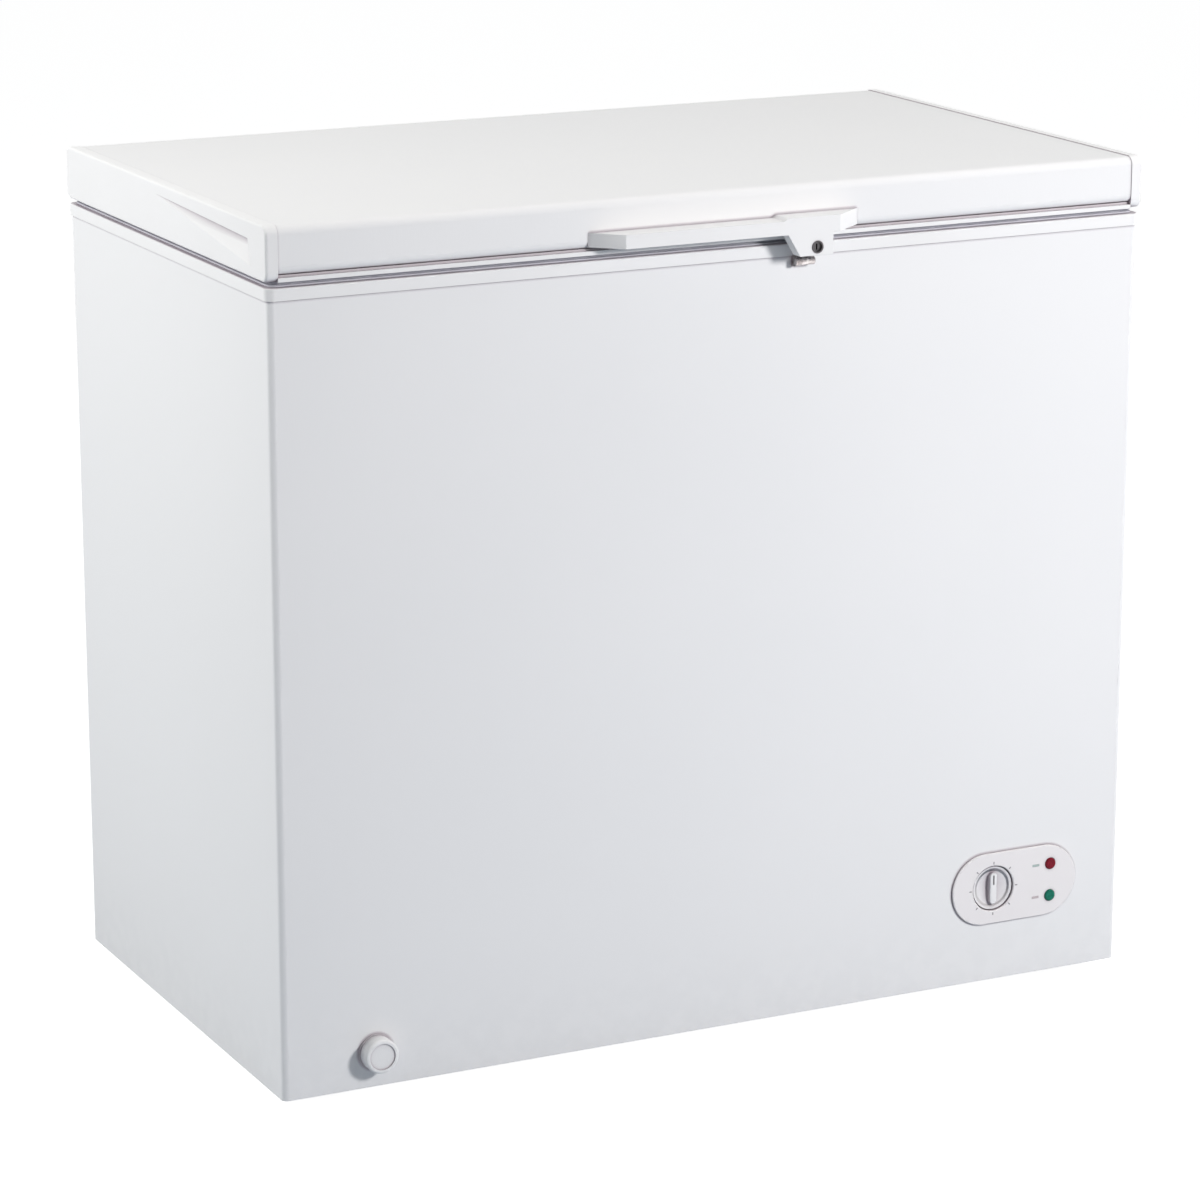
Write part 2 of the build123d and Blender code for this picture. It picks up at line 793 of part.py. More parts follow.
# Compressor: two drawn steel half shells welded round the middle, with tube stubs
with BuildPart() as compressor_lower_shell:
    with BuildSketch(Plane.XY.offset(shell_z)):
        with Locations((compressor_x, compressor_y)):
            RectangleRounded(
                compressor_length - 2 * shell_lap,
                compressor_width - 2 * shell_lap,
                compressor_corner - shell_lap,
            )
    extrude(amount=lower_shell_height)
    fillet(compressor_lower_shell.edges().group_by(Axis.Z)[0], lower_shell_round)
    with BuildSketch(front_plane(compressor_y)):
        with Locations((suction_x, stub_z)):
            Circle(stub_radius)
    extrude(amount=compressor_width / 2 + stub_length)
    with BuildSketch(front_plane(compressor_y)):
        with Locations((discharge_x, stub_z)):
            Circle(stub_radius)
    extrude(amount=-compressor_width / 2 - stub_length)
save(compressor_lower_shell, "compressor_lower_shell")

with BuildPart() as compressor_upper_shell:
    with BuildSketch(Plane.XY.offset(seam_z)):
        with Locations((compressor_x, compressor_y)):
            RectangleRounded(compressor_length, compressor_width, compressor_corner)
    extrude(amount=upper_shell_height)
    fillet(compressor_upper_shell.edges().group_by(Axis.Z)[-1], upper_shell_round)
save(compressor_upper_shell, "compressor_upper_shell")

# Legs plate, rubber mounts and bolts under the compressor
mount_points = [
    (compressor_x + x * mount_pitch_x / 2, compressor_y + y * mount_pitch_y / 2)
    for x in (-1, 1)
    for y in (-1, 1)
]
with BuildPart() as compressor_legs:
    with BuildSketch(Plane.XY.offset(legs_z)):
        with Locations((compressor_x, compressor_y)):
            RectangleRounded(legs_length, legs_width, legs_corner)
        with Locations(*mount_points):
            Circle(bolt_radius + fit_gap, mode=Mode.SUBTRACT)
    extrude(amount=legs_sheet)
save(compressor_legs, "compressor_legs")

with BuildPart() as rubber_mounts:
    with BuildSketch(Plane.XY.offset(tray_top)):
        with Locations(*mount_points):
            Circle(mount_radius)
            Circle(bolt_radius + fit_gap, mode=Mode.SUBTRACT)
    extrude(amount=mount_height)
save(rubber_mounts, "rubber_mounts")

with BuildPart() as mount_bolts:
    with BuildSketch(Plane.XY.offset(tray_top)):
        with Locations(*mount_points):
            Circle(bolt_radius)
    extrude(amount=mount_height + legs_sheet)
    with BuildSketch(Plane.XY.offset(shell_z)):
        with Locations(*mount_points):
            RegularPolygon(bolt_head_radius, 6)
    extrude(amount=bolt_head)
save(mount_bolts, "mount_bolts")

# Relay box on the front of the compressor
relay_mid_x = compressor_x + relay_x
relay_front = compressor_y - compressor_width / 2 - relay_reach
with BuildPart() as shell_room:
    with BuildSketch(Plane.XY.offset(shell_z)):
        with Locations((compressor_x, compressor_y)):
            RectangleRounded(
                compressor_length - 2 * shell_lap + 2 * fit_gap,
                compressor_width - 2 * shell_lap + 2 * fit_gap,
                compressor_corner - shell_lap + fit_gap,
            )
    extrude(amount=lower_shell_height)
with BuildPart() as relay_box:
    with BuildSketch(front_plane(relay_front)):
        with Locations((relay_mid_x, seam_z - fit_gap - relay_height / 2)):
            Rectangle(relay_width, relay_height)
    extrude(amount=relay_front - compressor_y)
    fillet(relay_box.edges().filter_by(Axis.Z).sort_by(Axis.Y)[:2], relay_edge)
    add(shell_room.part, mode=Mode.SUBTRACT)
save(relay_box, "relay_box")

# Wiring loom from the relay box to the thermostat, and the sensor tube up to the liner
loom_x = relay_mid_x + loom_shift
loom_z = seam_z - fit_gap - relay_height + loom_drop
loom_y = relay_front - loom_forward
wiring_loom = tube(
    [
        (loom_x, relay_front, loom_z),
        (loom_x, loom_y, loom_z),
        (knob_x, loom_y, panel_z),
        (knob_x, thermostat_back, panel_z),
    ],
    tube_bend,
    loom,
)
save(wiring_loom, "wiring_loom")

sensor_tube = tube(
    [
        (sensor_x, thermostat_back, panel_z),
        (sensor_x, sensor_y, panel_z),
        (sensor_x, sensor_y, step_z - liner_sheet - fit_gap),
    ],
    tube_bend,
    sensor,
)
save(sensor_tube, "sensor_tube")

# Control bezel: long rounded plate with a sunk well for the knob and two lamp holes
lamp_points = [(lamp_x, panel_z + lamp_pitch / 2), (lamp_x, panel_z - lamp_pitch / 2)]
with BuildPart() as control_bezel:
    with BuildSketch(front_plane(shell_front - bezel_undercut)):
        with Locations((panel_x, panel_z)):
            SlotOverall(panel_width, panel_height)
    extrude(amount=bezel_proud - bezel_undercut)
    fillet(control_bezel.faces().sort_by(Axis.Y)[0].edges(), bezel_edge)
    with BuildSketch(front_plane(shell_front)):
        with Locations((panel_x, panel_z)):
            SlotOverall(panel_width - 2 * bezel_undercut, panel_height - 2 * bezel_undercut)
    extrude(amount=bezel_undercut)
    with BuildSketch(front_plane(shell_front)):
        with Locations((panel_x, panel_z)):
            SlotOverall(
                panel_width - 2 * panel_lap - 2 * fit_gap, panel_height - 2 * panel_lap - 2 * fit_gap
            )
    extrude(amount=-boss_depth)
    with BuildSketch(front_plane(bezel_front)):
        with Locations((knob_x, panel_z)):
            Circle(well_radius - well_bevel)
    extrude(amount=-well_depth, mode=Mode.SUBTRACT)
    chamfer(control_bezel.faces().sort_by(Axis.Y)[0].inner_wires()[0].edges(), well_bevel)
    with BuildSketch(front_plane(boss_back)):
        with Locations((knob_x, panel_z)):
            Circle(bush_radius + fit_gap)
        with Locations(*lamp_points):
            Circle(lamp_radius + fit_gap)
    extrude(amount=boss_depth + bezel_proud, mode=Mode.SUBTRACT)
save(control_bezel, "control_bezel")

# Signal lamps: domed lenses with a shoulder behind the bezel
for lamp_name, (lens_x, lens_z) in zip(("red_lamp", "green_lamp"), lamp_points):
    with BuildPart() as lamp:
        with BuildSketch(front_plane(boss_back)):
            with Locations((lens_x, lens_z)):
                Circle(lamp_radius)
        extrude(amount=boss_depth + bezel_proud + lamp_dome)
        fillet(lamp.faces().sort_by(Axis.Y)[0].edges(), lamp_dome)
        with BuildSketch(front_plane(boss_back)):
            with Locations((lens_x, lens_z)):
                Circle(lamp_radius + lamp_shoulder)
        extrude(amount=-lamp_tail)
    save(lamp, lamp_name)

# Thermostat body behind the bezel, with a bush that guides the shaft
with BuildPart() as thermostat_body:
    with BuildSketch(front_plane(boss_back)):
        with Locations((knob_x, panel_z)):
            Rectangle(thermostat_width, thermostat_height)
    extrude(amount=-thermostat_depth)
    with BuildSketch(front_plane(boss_back)):
        with Locations((knob_x, panel_z)):
            Circle(bush_radius)
    extrude(amount=boss_depth + bezel_proud - well_depth)
    well_floor = bezel_front + well_depth
    with BuildSketch(front_plane(well_floor)):
        with Locations((knob_x, panel_z)):
            Circle(shaft_radius + turn_fit)
    extrude(amount=well_floor - boss_back - shaft_in_body, mode=Mode.SUBTRACT)
save(thermostat_body, "thermostat_body")

knob_back = well_floor - knob_float
with BuildPart() as thermostat_shaft:
    with BuildSketch(front_plane(boss_back + shaft_in_body - knob_float)):
        with Locations((knob_x, panel_z)):
            Circle(shaft_radius)
    extrude(amount=boss_back + shaft_in_body - knob_float - knob_back + shaft_in_knob)
save(thermostat_shaft, "thermostat_shaft")

# Thermostat knob: dished disc sunk in the well, with an upright grip and a pointer notch at its top
knob_radius = well_radius - well_bevel - knob_gap
knob_front = bezel_front + knob_sink
dish_half = knob_radius - knob_rim
dish_edge = knob_front + knob_step
dish_floor = dish_edge + knob_dish
dish_sphere = (dish_half**2 + knob_dish**2) / (2 * knob_dish)
grip_half = dish_half - grip_inset
grip_front = bezel_front - grip_proud
with BuildPart() as thermostat_knob:
    with BuildSketch(front_plane(knob_back)):
        with Locations((knob_x, panel_z)):
            Circle(knob_radius)
    extrude(amount=knob_back - knob_front)
    with BuildSketch(front_plane(knob_front)):
        with Locations((knob_x, panel_z)):
            Circle(dish_half)
    extrude(amount=-knob_step, mode=Mode.SUBTRACT)
    with Locations((knob_x, dish_floor - dish_sphere, panel_z)):
        Sphere(dish_sphere, mode=Mode.SUBTRACT)
    with BuildSketch(front_plane(dish_floor)):
        with Locations((knob_x, panel_z)):
            SlotOverall(2 * grip_half, grip_width, rotation=90)
    extrude(amount=dish_floor - grip_front)
    fillet(thermostat_knob.faces().sort_by(Axis.Y)[0].edges(), grip_edge)
    with BuildSketch(front_plane(grip_front)):
        with Locations((knob_x, panel_z + grip_half - pointer_inset - pointer_length / 2)):
            Rectangle(pointer_width, pointer_length)
    extrude(amount=-pointer_depth, mode=Mode.SUBTRACT)
    with BuildSketch(front_plane(knob_back)):
        with Locations((knob_x, panel_z)):
            Circle(shaft_radius + pin_seat)
    extrude(amount=shaft_in_knob + fit_gap, mode=Mode.SUBTRACT)
save(thermostat_knob, "thermostat_knob")

# Drain: tube from the liner floor to the front, spout through the wrap, screw cap and inner plug
neck_back = shell_front + neck_in
drain_top = floor_z - liner_sheet
with BuildPart() as drain_tube:
    with BuildLine() as drain_path:
        FilletPolyline(
            (drain_x, neck_back, drain_z),
            (drain_x, drain_y, drain_z),
            (drain_x, drain_y, drain_top),
            radius=drain_bend,
        )
    with BuildSketch(Plane(origin=drain_path.line @ 0, z_dir=drain_path.line % 0)):
        Circle(drain_bore + drain_wall)
        Circle(drain_bore, mode=Mode.SUBTRACT)
    sweep()
save(drain_tube, "drain_tube")

with BuildPart() as drain_spout:
    with BuildSketch(front_plane(neck_back)):
        with Locations((drain_x, drain_z)):
            Circle(neck_radius)
            Circle(drain_bore, mode=Mode.SUBTRACT)
    extrude(amount=neck_in + neck_out)
    with BuildSketch(front_plane(shell_front)):
        with Locations((drain_x, drain_z)):
            Circle(spout_flange_radius)
            Circle(drain_bore, mode=Mode.SUBTRACT)
    extrude(amount=spout_flange)
save(drain_spout, "drain_spout")

cap_back = shell_front - spout_flange - fit_gap
cap_inside = shell_front - neck_out - fit_gap
with BuildPart() as drain_cap:
    with BuildSketch(front_plane(cap_back)):
        with Locations((drain_x, drain_z)):
            Circle(drain_cap_radius)
    extrude(amount=cap_back - cap_inside + drain_cap_wall)
    fillet(drain_cap.faces().sort_by(Axis.Y)[0].edges(), drain_cap_edge)
    with BuildSketch(front_plane(cap_inside - drain_cap_wall)):
        with Locations((drain_x, drain_z)):
            Circle(drain_cap_radius - drain_cap_rim)
    extrude(amount=-drain_cap_dish, mode=Mode.SUBTRACT)
    with BuildSketch(front_plane(cap_back)):
        with Locations((drain_x, drain_z)):
            Circle(neck_radius + fit_gap)
    extrude(amount=cap_back - cap_inside, mode=Mode.SUBTRACT)
save(drain_cap, "drain_cap")

with BuildPart() as drain_plug:
    with BuildSketch(Plane.XY.offset(floor_z)):
        with Locations((drain_x, drain_y)):
            Circle(drain_plug_head_radius)
    extrude(amount=drain_plug_head)
    fillet(drain_plug.edges().group_by(Axis.Z)[-1], drain_plug_head / 3)
    with BuildSketch(Plane.XY.offset(floor_z)):
        with Locations((drain_x, drain_y)):
            Circle(drain_bore - drain_plug_fit)
    extrude(amount=-drain_plug_stem)
    chamfer(drain_plug.edges().group_by(Axis.Z)[0], drain_plug_taper)
save(drain_plug, "drain_plug")

# Side vent: slotted grille set into the right side of the wrap
vent_y = body_y + vent_back
vent_z = base_z + vent_rise
vent_pitch = (vent_length - 2 * vent_edge) / vent_bars
with BuildPart() as side_vent:
    with BuildSketch(Plane.YZ.offset(cabinet_width / 2)):
        with Locations((vent_y, vent_z)):
            RectangleRounded(vent_length + 2 * vent_lap, vent_height + 2 * vent_lap, vent_lap)
    extrude(amount=vent_flange)
    with BuildSketch(Plane.YZ.offset(cabinet_width / 2)):
        with Locations((vent_y, vent_z)):
            Rectangle(vent_length - 2 * fit_gap, vent_height - 2 * fit_gap)
    extrude(amount=-vent_depth)
    with BuildSketch(Plane.YZ.offset(cabinet_width / 2 + vent_flange)):
        with Locations((vent_y, vent_z)):
            with GridLocations(vent_pitch, 0, vent_bars, 1):
                SlotOverall(vent_height - 2 * vent_edge, vent_slot, rotation=90)
    extrude(amount=-vent_flange - vent_depth, mode=Mode.SUBTRACT)
save(side_vent, "side_vent")

# Rear cover over the compressor bay, with air slots and the cord gland
gland_x = cover_left + gland_side
gland_z = cover_low + gland_rise
gland_radius = gland_bore + gland_wall
cover_back = back_face + cover_sheet
slots_top = cover_high - cover_lap - slot_pitch
slots_z = slots_top - (cover_slots_down - 1) * slot_pitch / 2
cover_screw_points = [
    (x, z)
    for x in (cover_left + cover_lap / 2, cover_right - cover_lap / 2)
    for z in (cover_low + cover_lap, cover_z, cover_high - cover_lap)
]
with BuildPart() as rear_cover:
    with BuildSketch(front_plane(cover_back)):
        with Locations((cover_x, cover_z)):
            Rectangle(cover_width, cover_height)
        with Locations((cover_x, slots_z)):
            with GridLocations(slot_spacing, slot_pitch, cover_slots_across, cover_slots_down):
                SlotOverall(slot_length, slot_height, mode=Mode.SUBTRACT)
        with Locations((gland_x, gland_z)):
            Circle(gland_radius + fit_gap, mode=Mode.SUBTRACT)
    extrude(amount=cover_sheet)
save(rear_cover, "rear_cover")

with BuildPart() as rear_cover_screws:
    with BuildSketch(front_plane(cover_back)):
        with Locations(*cover_screw_points):
            Circle(rivet_head_radius - rivet_head / 2)
    extrude(amount=-rivet_head)
    chamfer(rear_cover_screws.edges().group_by(Axis.Y)[-1], rivet_head / 3)
save(rear_cover_screws, "rear_cover_screws")

with BuildPart() as cord_gland:
    with BuildSketch(front_plane(back_face - gland_in)):
        with Locations((gland_x, gland_z)):
            Circle(gland_radius)
    extrude(amount=-gland_in - cover_sheet - gland_flange - gland_out)
    with BuildSketch(front_plane(cover_back)):
        with Locations((gland_x, gland_z)):
            Circle(gland_flange_radius)
    extrude(amount=-gland_flange)
    with BuildSketch(front_plane(back_face - gland_in)):
        with Locations((gland_x, gland_z)):
            Circle(gland_bore)
    extrude(amount=-gland_in - cover_sheet - gland_flange - gland_out, mode=Mode.SUBTRACT)
save(cord_gland, "cord_gland")

# Lock strike: plate on the cabinet front with an ear that carries the pin
ear_x = lock_x + strike_pin_past - strike_pin_length
plate_top = frame_z - fit_gap
plate_z = plate_top - strike_plate_height / 2
plate_x = ear_x - strike_ear + strike_plate_width / 2
with BuildPart() as lock_strike:
    with BuildSketch(Plane.YZ.offset(ear_x)):
        with Locations((strike_y, strike_z)):
            Circle(strike_pin_radius)
    extrude(amount=strike_pin_length)
    chamfer(lock_strike.faces().sort_by(Axis.X)[-1].edges(), strike_plate_edge / 2)
    with BuildSketch(Plane.YZ.offset(ear_x - strike_ear)):
        with Locations((strike_y, strike_z)):
            Circle(strike_pin_radius + strike_ear_rim)
        with Locations(((strike_y + shell_front) / 2, strike_z)):
            Rectangle(strike_reach, 2 * (strike_pin_radius + strike_ear_rim))
    extrude(amount=strike_ear)
    with BuildSketch(front_plane(shell_front)):
        with Locations((plate_x, plate_z)):
            RectangleRounded(strike_plate_width, strike_plate_height, strike_plate_edge)
    extrude(amount=strike_plate)
save(lock_strike, "lock_strike")

with BuildPart() as strike_screws:
    with BuildSketch(front_plane(shell_front - strike_plate)):
        with Locations((ear_x + strike_plate_width / 2, plate_z)):
            with GridLocations(0, strike_screw_pitch, 1, 2):
                Circle(strike_screw_radius)
    extrude(amount=strike_screw_head)
save(strike_screws, "strike_screws")

# Lid outer panel: sheet bent over the top, front and back, hemmed inward along the groove
panel_half = lid_width / 2 - cap_width
steel_depth = steel_rear - steel_front
steel_top = lid_top - cap_proud
with BuildPart() as lid_outer_panel:
    with BuildSketch(Plane.YZ.offset(-panel_half)) as panel_profile:
        with Locations((body_y, panel_top)):
            Rectangle(steel_depth, steel_top - panel_top, align=(Align.CENTER, Align.MIN))
        fillet(panel_profile.vertices().group_by(Axis.Z)[-1], lid_bend)
    extrude(amount=2 * panel_half)
    with BuildSketch(Plane.YZ.offset(-panel_half)) as hollow_profile:
        with Locations((body_y, panel_top + lid_sheet)):
            Rectangle(
                steel_depth - 2 * lid_sheet,
                steel_top - panel_top - 2 * lid_sheet,
                align=(Align.CENTER, Align.MIN),
            )
        fillet(hollow_profile.vertices().group_by(Axis.Z)[-1], lid_bend - lid_sheet)
    extrude(amount=2 * panel_half, mode=Mode.SUBTRACT)
    with BuildSketch(Plane.XY.offset(panel_top)):
        with Locations((0, body_y)):
            Rectangle(2 * panel_half, steel_depth - 2 * lid_sheet - 2 * hem_width)
    extrude(amount=2 * lid_sheet, mode=Mode.SUBTRACT)
save(lid_outer_panel, "lid_outer_panel")

# Lid end caps: mouldings that close both ends, each with a scooped finger hold
tongue_inset = cap_proud + lid_sheet + fit_gap


def end_cap(side):
    """End cap on one side of the lid: -1 for the left, 1 for the right."""
    outer_x = side * lid_width / 2
    rear = (outer_x, lid_front + scoop_rear, lid_bottom + scoop_rear_height)
    front = (outer_x, lid_front + scoop_front, lid_bottom + scoop_front_height)
    toe = (outer_x, lid_front + scoop_toe, lid_bottom + scoop_toe_height)
    with BuildPart() as cap:
        with BuildSketch(Plane.YZ.offset(outer_x)) as cap_profile:
            with Locations((body_y, lid_bottom)):
                Rectangle(lid_depth, lid_height, align=(Align.CENTER, Align.MIN))
            fillet(cap_profile.vertices().group_by(Axis.Z)[-1], lid_bend + cap_proud)
        extrude(amount=-side * cap_width)
        outer_edges = cap.faces().sort_by(Axis.X)[-1 if side > 0 else 0].edges()
        fillet(outer_edges, cap_edge)
        with BuildSketch(Plane.YZ.offset(outer_x - side * cap_width)) as tongue_profile:
            with Locations((body_y, panel_top + lid_sheet + fit_gap)):
                Rectangle(
                    lid_depth - 2 * tongue_inset,
                    lid_top - tongue_inset - panel_top - lid_sheet - fit_gap,
                    align=(Align.CENTER, Align.MIN),
                )
            fillet(tongue_profile.vertices().group_by(Axis.Z)[-1], lid_bend)
        extrude(amount=-side * cap_tongue)
        with BuildSketch(Plane.YZ.offset(outer_x)) as scoop_mouth:
            with BuildLine():
                Polyline(rear[1:], front[1:], toe[1:], close=True)
            make_face()
        deepest = Vertex(outer_x - side * scoop_depth, front[1], front[2])
        loft([scoop_mouth.sketch.faces()[0], deepest], mode=Mode.SUBTRACT)
    return cap


lid_end_cap_left = end_cap(-1)
save(lid_end_cap_left, "lid_end_cap_left")
lid_end_cap_right = end_cap(1)
save(lid_end_cap_right, "lid_end_cap_right")

# Lid inner panel: moulded underside with the visible lower strip and a plug that enters the frame
with BuildPart() as lid_inner_panel:
    with BuildSketch(Plane.XY.offset(lid_bottom)):
        with Locations((0, body_y)):
            Rectangle(2 * panel_half, steel_depth)
    extrude(amount=strip_height)
    with BuildSketch(Plane.XY.offset(groove_z)):
        with Locations((0, body_y)):
            Rectangle(2 * panel_half, steel_depth - 2 * groove_depth)
    extrude(amount=groove_height)
    with BuildSketch(Plane.XY.offset(lid_bottom)):
        with Locations((0, body_y)):
            RectangleRounded(lid_width - 2 * plug_inset, lid_depth - 2 * plug_inset, plug_radius)
    extrude(amount=-plug_drop)
    fillet(lid_inner_panel.edges().group_by(Axis.Z)[0], plug_edge)
    with BuildSketch(Plane.XY.offset(lid_bottom + panel_wall)):
        with Locations((0, body_y)):
            Rectangle(
                2 * panel_half - 2 * panel_wall, steel_depth - 2 * groove_depth - 2 * panel_wall
            )
    extrude(amount=strip_height + groove_height, mode=Mode.SUBTRACT)
    with BuildSketch(Plane.XY.offset(lid_bottom - plug_drop + panel_wall)):
        with Locations((0, body_y)):
            RectangleRounded(
                lid_width - 2 * plug_inset - 2 * panel_wall,
                lid_depth - 2 * plug_inset - 2 * panel_wall,
                plug_radius - panel_wall,
            )
    extrude(amount=plug_drop, mode=Mode.SUBTRACT)
save(lid_inner_panel, "lid_inner_panel")

# Lid foam between the outer panel and the inner panel
foam_half = panel_half - cap_tongue - fit_gap
foam_hem = hem_width + lid_sheet + fit_gap
foam_bottom = panel_top + lid_sheet + fit_gap
with BuildPart() as lid_foam:
    with BuildSketch(Plane.YZ.offset(-foam_half)) as foam_profile:
        with Locations((body_y, foam_bottom)):
            Rectangle(
                steel_depth - 2 * lid_sheet - 2 * fit_gap,
                steel_top - lid_sheet - fit_gap - foam_bottom,
                align=(Align.CENTER, Align.MIN),
            )
        fillet(foam_profile.vertices().group_by(Axis.Z)[-1], lid_bend - lid_sheet)
    extrude(amount=2 * foam_half)
    with BuildSketch(Plane.XY.offset(foam_bottom)):
        with Locations((0, body_y)):
            Rectangle(2 * foam_half, steel_depth - 2 * foam_hem)
    extrude(amount=lid_bottom + panel_wall + fit_gap - foam_bottom)
    with BuildSketch(Plane.XY.offset(foam_bottom)):
        with Locations((0, body_y)):
            RectangleRounded(
                lid_width - 2 * plug_inset - 2 * panel_wall - 2 * fit_gap,
                lid_depth - 2 * plug_inset - 2 * panel_wall - 2 * fit_gap,
                plug_radius - panel_wall - fit_gap,
            )
    extrude(amount=lid_bottom - plug_drop + panel_wall + fit_gap - foam_bottom)
save(lid_foam, "lid_foam")


# Lid gasket: mounting flange, narrow waist and sealing lip, all round the lid
def gasket_ring(low, high, inset, width):
    """One layer of the gasket, between two heights."""
    with BuildSketch(Plane.XY.offset(low)) as layer:
        with Locations((0, body_y)):
            RectangleRounded(lid_width - 2 * inset, lid_depth - 2 * inset, gasket_radius)
            RectangleRounded(
                lid_width - 2 * inset - 2 * width,
                lid_depth - 2 * inset - 2 * width,
                gasket_radius,
                mode=Mode.SUBTRACT,
            )
    extrude(layer.sketch, amount=high - low)


gasket_bottom = frame_top + gasket_gap
with BuildPart() as lid_gasket:
    gasket_ring(lid_bottom - gasket_lip, lid_bottom, gasket_inset, gasket_width)
    gasket_ring(
        gasket_bottom + gasket_lip,
        lid_bottom - gasket_lip,
        gasket_inset + gasket_waist,
        gasket_width - 2 * gasket_waist,
    )
    gasket_ring(gasket_bottom, gasket_bottom + gasket_lip, gasket_inset, gasket_width)
save(lid_gasket, "lid_gasket")

# Handle: hood open below with bevelled ends, a raised lock pad and a tongue over the frame
handle_half = handle_length / 2
left_corner = left_bevel - handle_half
right_corner = handle_half - right_bevel
with BuildPart() as handle:
    with BuildSketch(Plane.XY.offset(bar_z)):
        with BuildLine():
            Polyline(
                (-handle_half, steel_front),
                (left_corner, handle_front),
                (right_corner, handle_front),
                (handle_half, steel_front),
                close=True,
            )
        make_face()
    extrude(amount=bar_height)
    with BuildSketch(Plane.XY.offset(bar_z)):
        with BuildLine():
            Polyline(
                (pad_start, steel_front),
                (pad_start, handle_front),
                (right_corner, handle_front),
                (handle_half, steel_front),
                close=True,
            )
        make_face()
    extrude(amount=bar_height + pad_rise)
    with BuildSketch(front_plane(handle_front)):
        with BuildLine():
            bar_top = bar_z + bar_height
            Polyline(
                (pad_start - pad_ramp, bar_top),
                (pad_start, bar_top + pad_rise),
                (pad_start, bar_top),
                close=True,
            )
        make_face()
    extrude(amount=-handle_proud)
    fillet(handle.edges().filter_by(Axis.Z).sort_by(Axis.Y)[:2], handle_edge)
    with BuildSketch(front_plane(handle_front)):
        with BuildLine():
            Polyline(
                (tongue_left, bar_z),
                (tongue_left + tongue_slant, bar_z - tongue_drop),
                (tongue_right, bar_z - tongue_drop),
                (tongue_right, bar_z),
                close=True,
            )
        make_face()
    extrude(amount=-tongue_depth)
    with BuildSketch(Plane.XY.offset(bar_z)):
        with BuildLine():
            inner_back = steel_front - bar_back_wall
            inner_front = handle_front + bar_front_wall
            Polyline(
                (left_corner - bar_front_wall, inner_back),
                (left_corner + bar_front_wall, inner_front),
                (right_corner - bar_front_wall, inner_front),
                (right_corner + bar_front_wall, inner_back),
                close=True,
            )
        make_face()
    extrude(amount=bar_height - bar_roof, mode=Mode.SUBTRACT)
    with BuildSketch(Plane.XY.offset(bar_z)):
        with Locations((lock_x, (inner_front + inner_back) / 2)):
            Rectangle(2 * cam_room, inner_back - inner_front)
    extrude(amount=bar_height + pad_rise - pad_roof, mode=Mode.SUBTRACT)
    with BuildSketch(front_plane(handle_front)):
        with Locations((lock_x, lock_z)):
            Circle(barrel_radius + turn_fit)
    extrude(amount=-tongue_depth, mode=Mode.SUBTRACT)
save(handle, "handle")

# Lock: fixed barrel in the tongue, turning plug with key slot, and the hooked cam behind it
with BuildPart() as lock_barrel:
    with BuildSketch(front_plane(tongue_back)):
        with Locations((lock_x, lock_z)):
            Circle(barrel_radius)
            Circle(plug_core_radius + turn_fit, mode=Mode.SUBTRACT)
    extrude(amount=tongue_depth + barrel_flange)
save(lock_barrel, "lock_barrel")

plug_face = handle_front - barrel_flange + plug_sink
with BuildPart() as lock_plug:
    with BuildSketch(front_plane(cam_front)):
        with Locations((lock_x, lock_z)):
            Circle(plug_core_radius)
    extrude(amount=cam_front - plug_face)
    with BuildSketch(front_plane(cam_back)):
        with Locations((lock_x, lock_z)):
            Circle(tail_radius)
    extrude(amount=cam_thickness)
    with BuildSketch(front_plane(plug_face)):
        with Locations((lock_x, lock_z)):
            SlotOverall(key_slot_length, key_slot_width, rotation=90)
    extrude(amount=-key_slot_depth, mode=Mode.SUBTRACT)
save(lock_plug, "lock_plug")

# Cam at rest points up behind the pad; half a turn brings its bent finger under the strike pin
pin_drop = lock_z - strike_z + strike_pin_radius
finger_near = sqrt(pin_drop**2 + strike_pin_past**2) + cam_gap
finger_far = finger_near + cam_finger_height
finger_back = steel_front - bar_back_wall - cam_gap
with BuildPart() as lock_cam:
    with BuildSketch(front_plane(cam_back)):
        with Locations((lock_x, lock_z)):
            Circle(cam_hub_radius)
        with Locations((lock_x, lock_z + finger_far / 2)):
            Rectangle(cam_width, finger_far)
        with Locations((lock_x, lock_z)):
            Circle(tail_radius + pin_seat, mode=Mode.SUBTRACT)
    extrude(amount=cam_thickness)
    with BuildSketch(front_plane(finger_back)):
        with Locations((lock_x, lock_z + (finger_near + finger_far) / 2)):
            Rectangle(cam_width, cam_finger_height)
    extrude(amount=finger_back - cam_back)
save(lock_cam, "lock_cam")

# Hinges: leaves riveted to cabinet and lid, pins through the knuckles, springs that lift the lid
cabinet_leaf_y = back_face + leaf_thickness / 2
lid_leaf_y = steel_rear + leaf_thickness / 2
leaf_turn_z = frame_z - leaf_bend
lid_leaf_z = panel_top
spring_low_z = pivot_z - spring_radius
hinge_starts = [x - hinge_length / 2 for x in hinge_middles]
lid_knuckle_start = knuckle_length + knuckle_gap
spring_room = lid_knuckle_start + lid_knuckle_length + knuckle_gap
spring_pitch = 2 * spring_wire + spring_turn_gap
spring_length = spring_pitch * (spring_turns + 0.5)
spring_start = (spring_room + hinge_length - knuckle_length - knuckle_gap - spring_length) / 2


def knuckle(x, length, leaf_y, leaf_z, bore):
    """Eye round the hinge pin, with the web that runs into its leaf."""
    with BuildSketch(Plane.YZ.offset(x)) as eye:
        with Locations((leaf_y, leaf_z)):
            Circle(leaf_thickness / 2)
        with Locations((pivot_y, pivot_z)):
            Circle(knuckle_radius)
        make_hull()
        with Locations((pivot_y, pivot_z)):
            Circle(bore, mode=Mode.SUBTRACT)
    extrude(eye.sketch, amount=length)


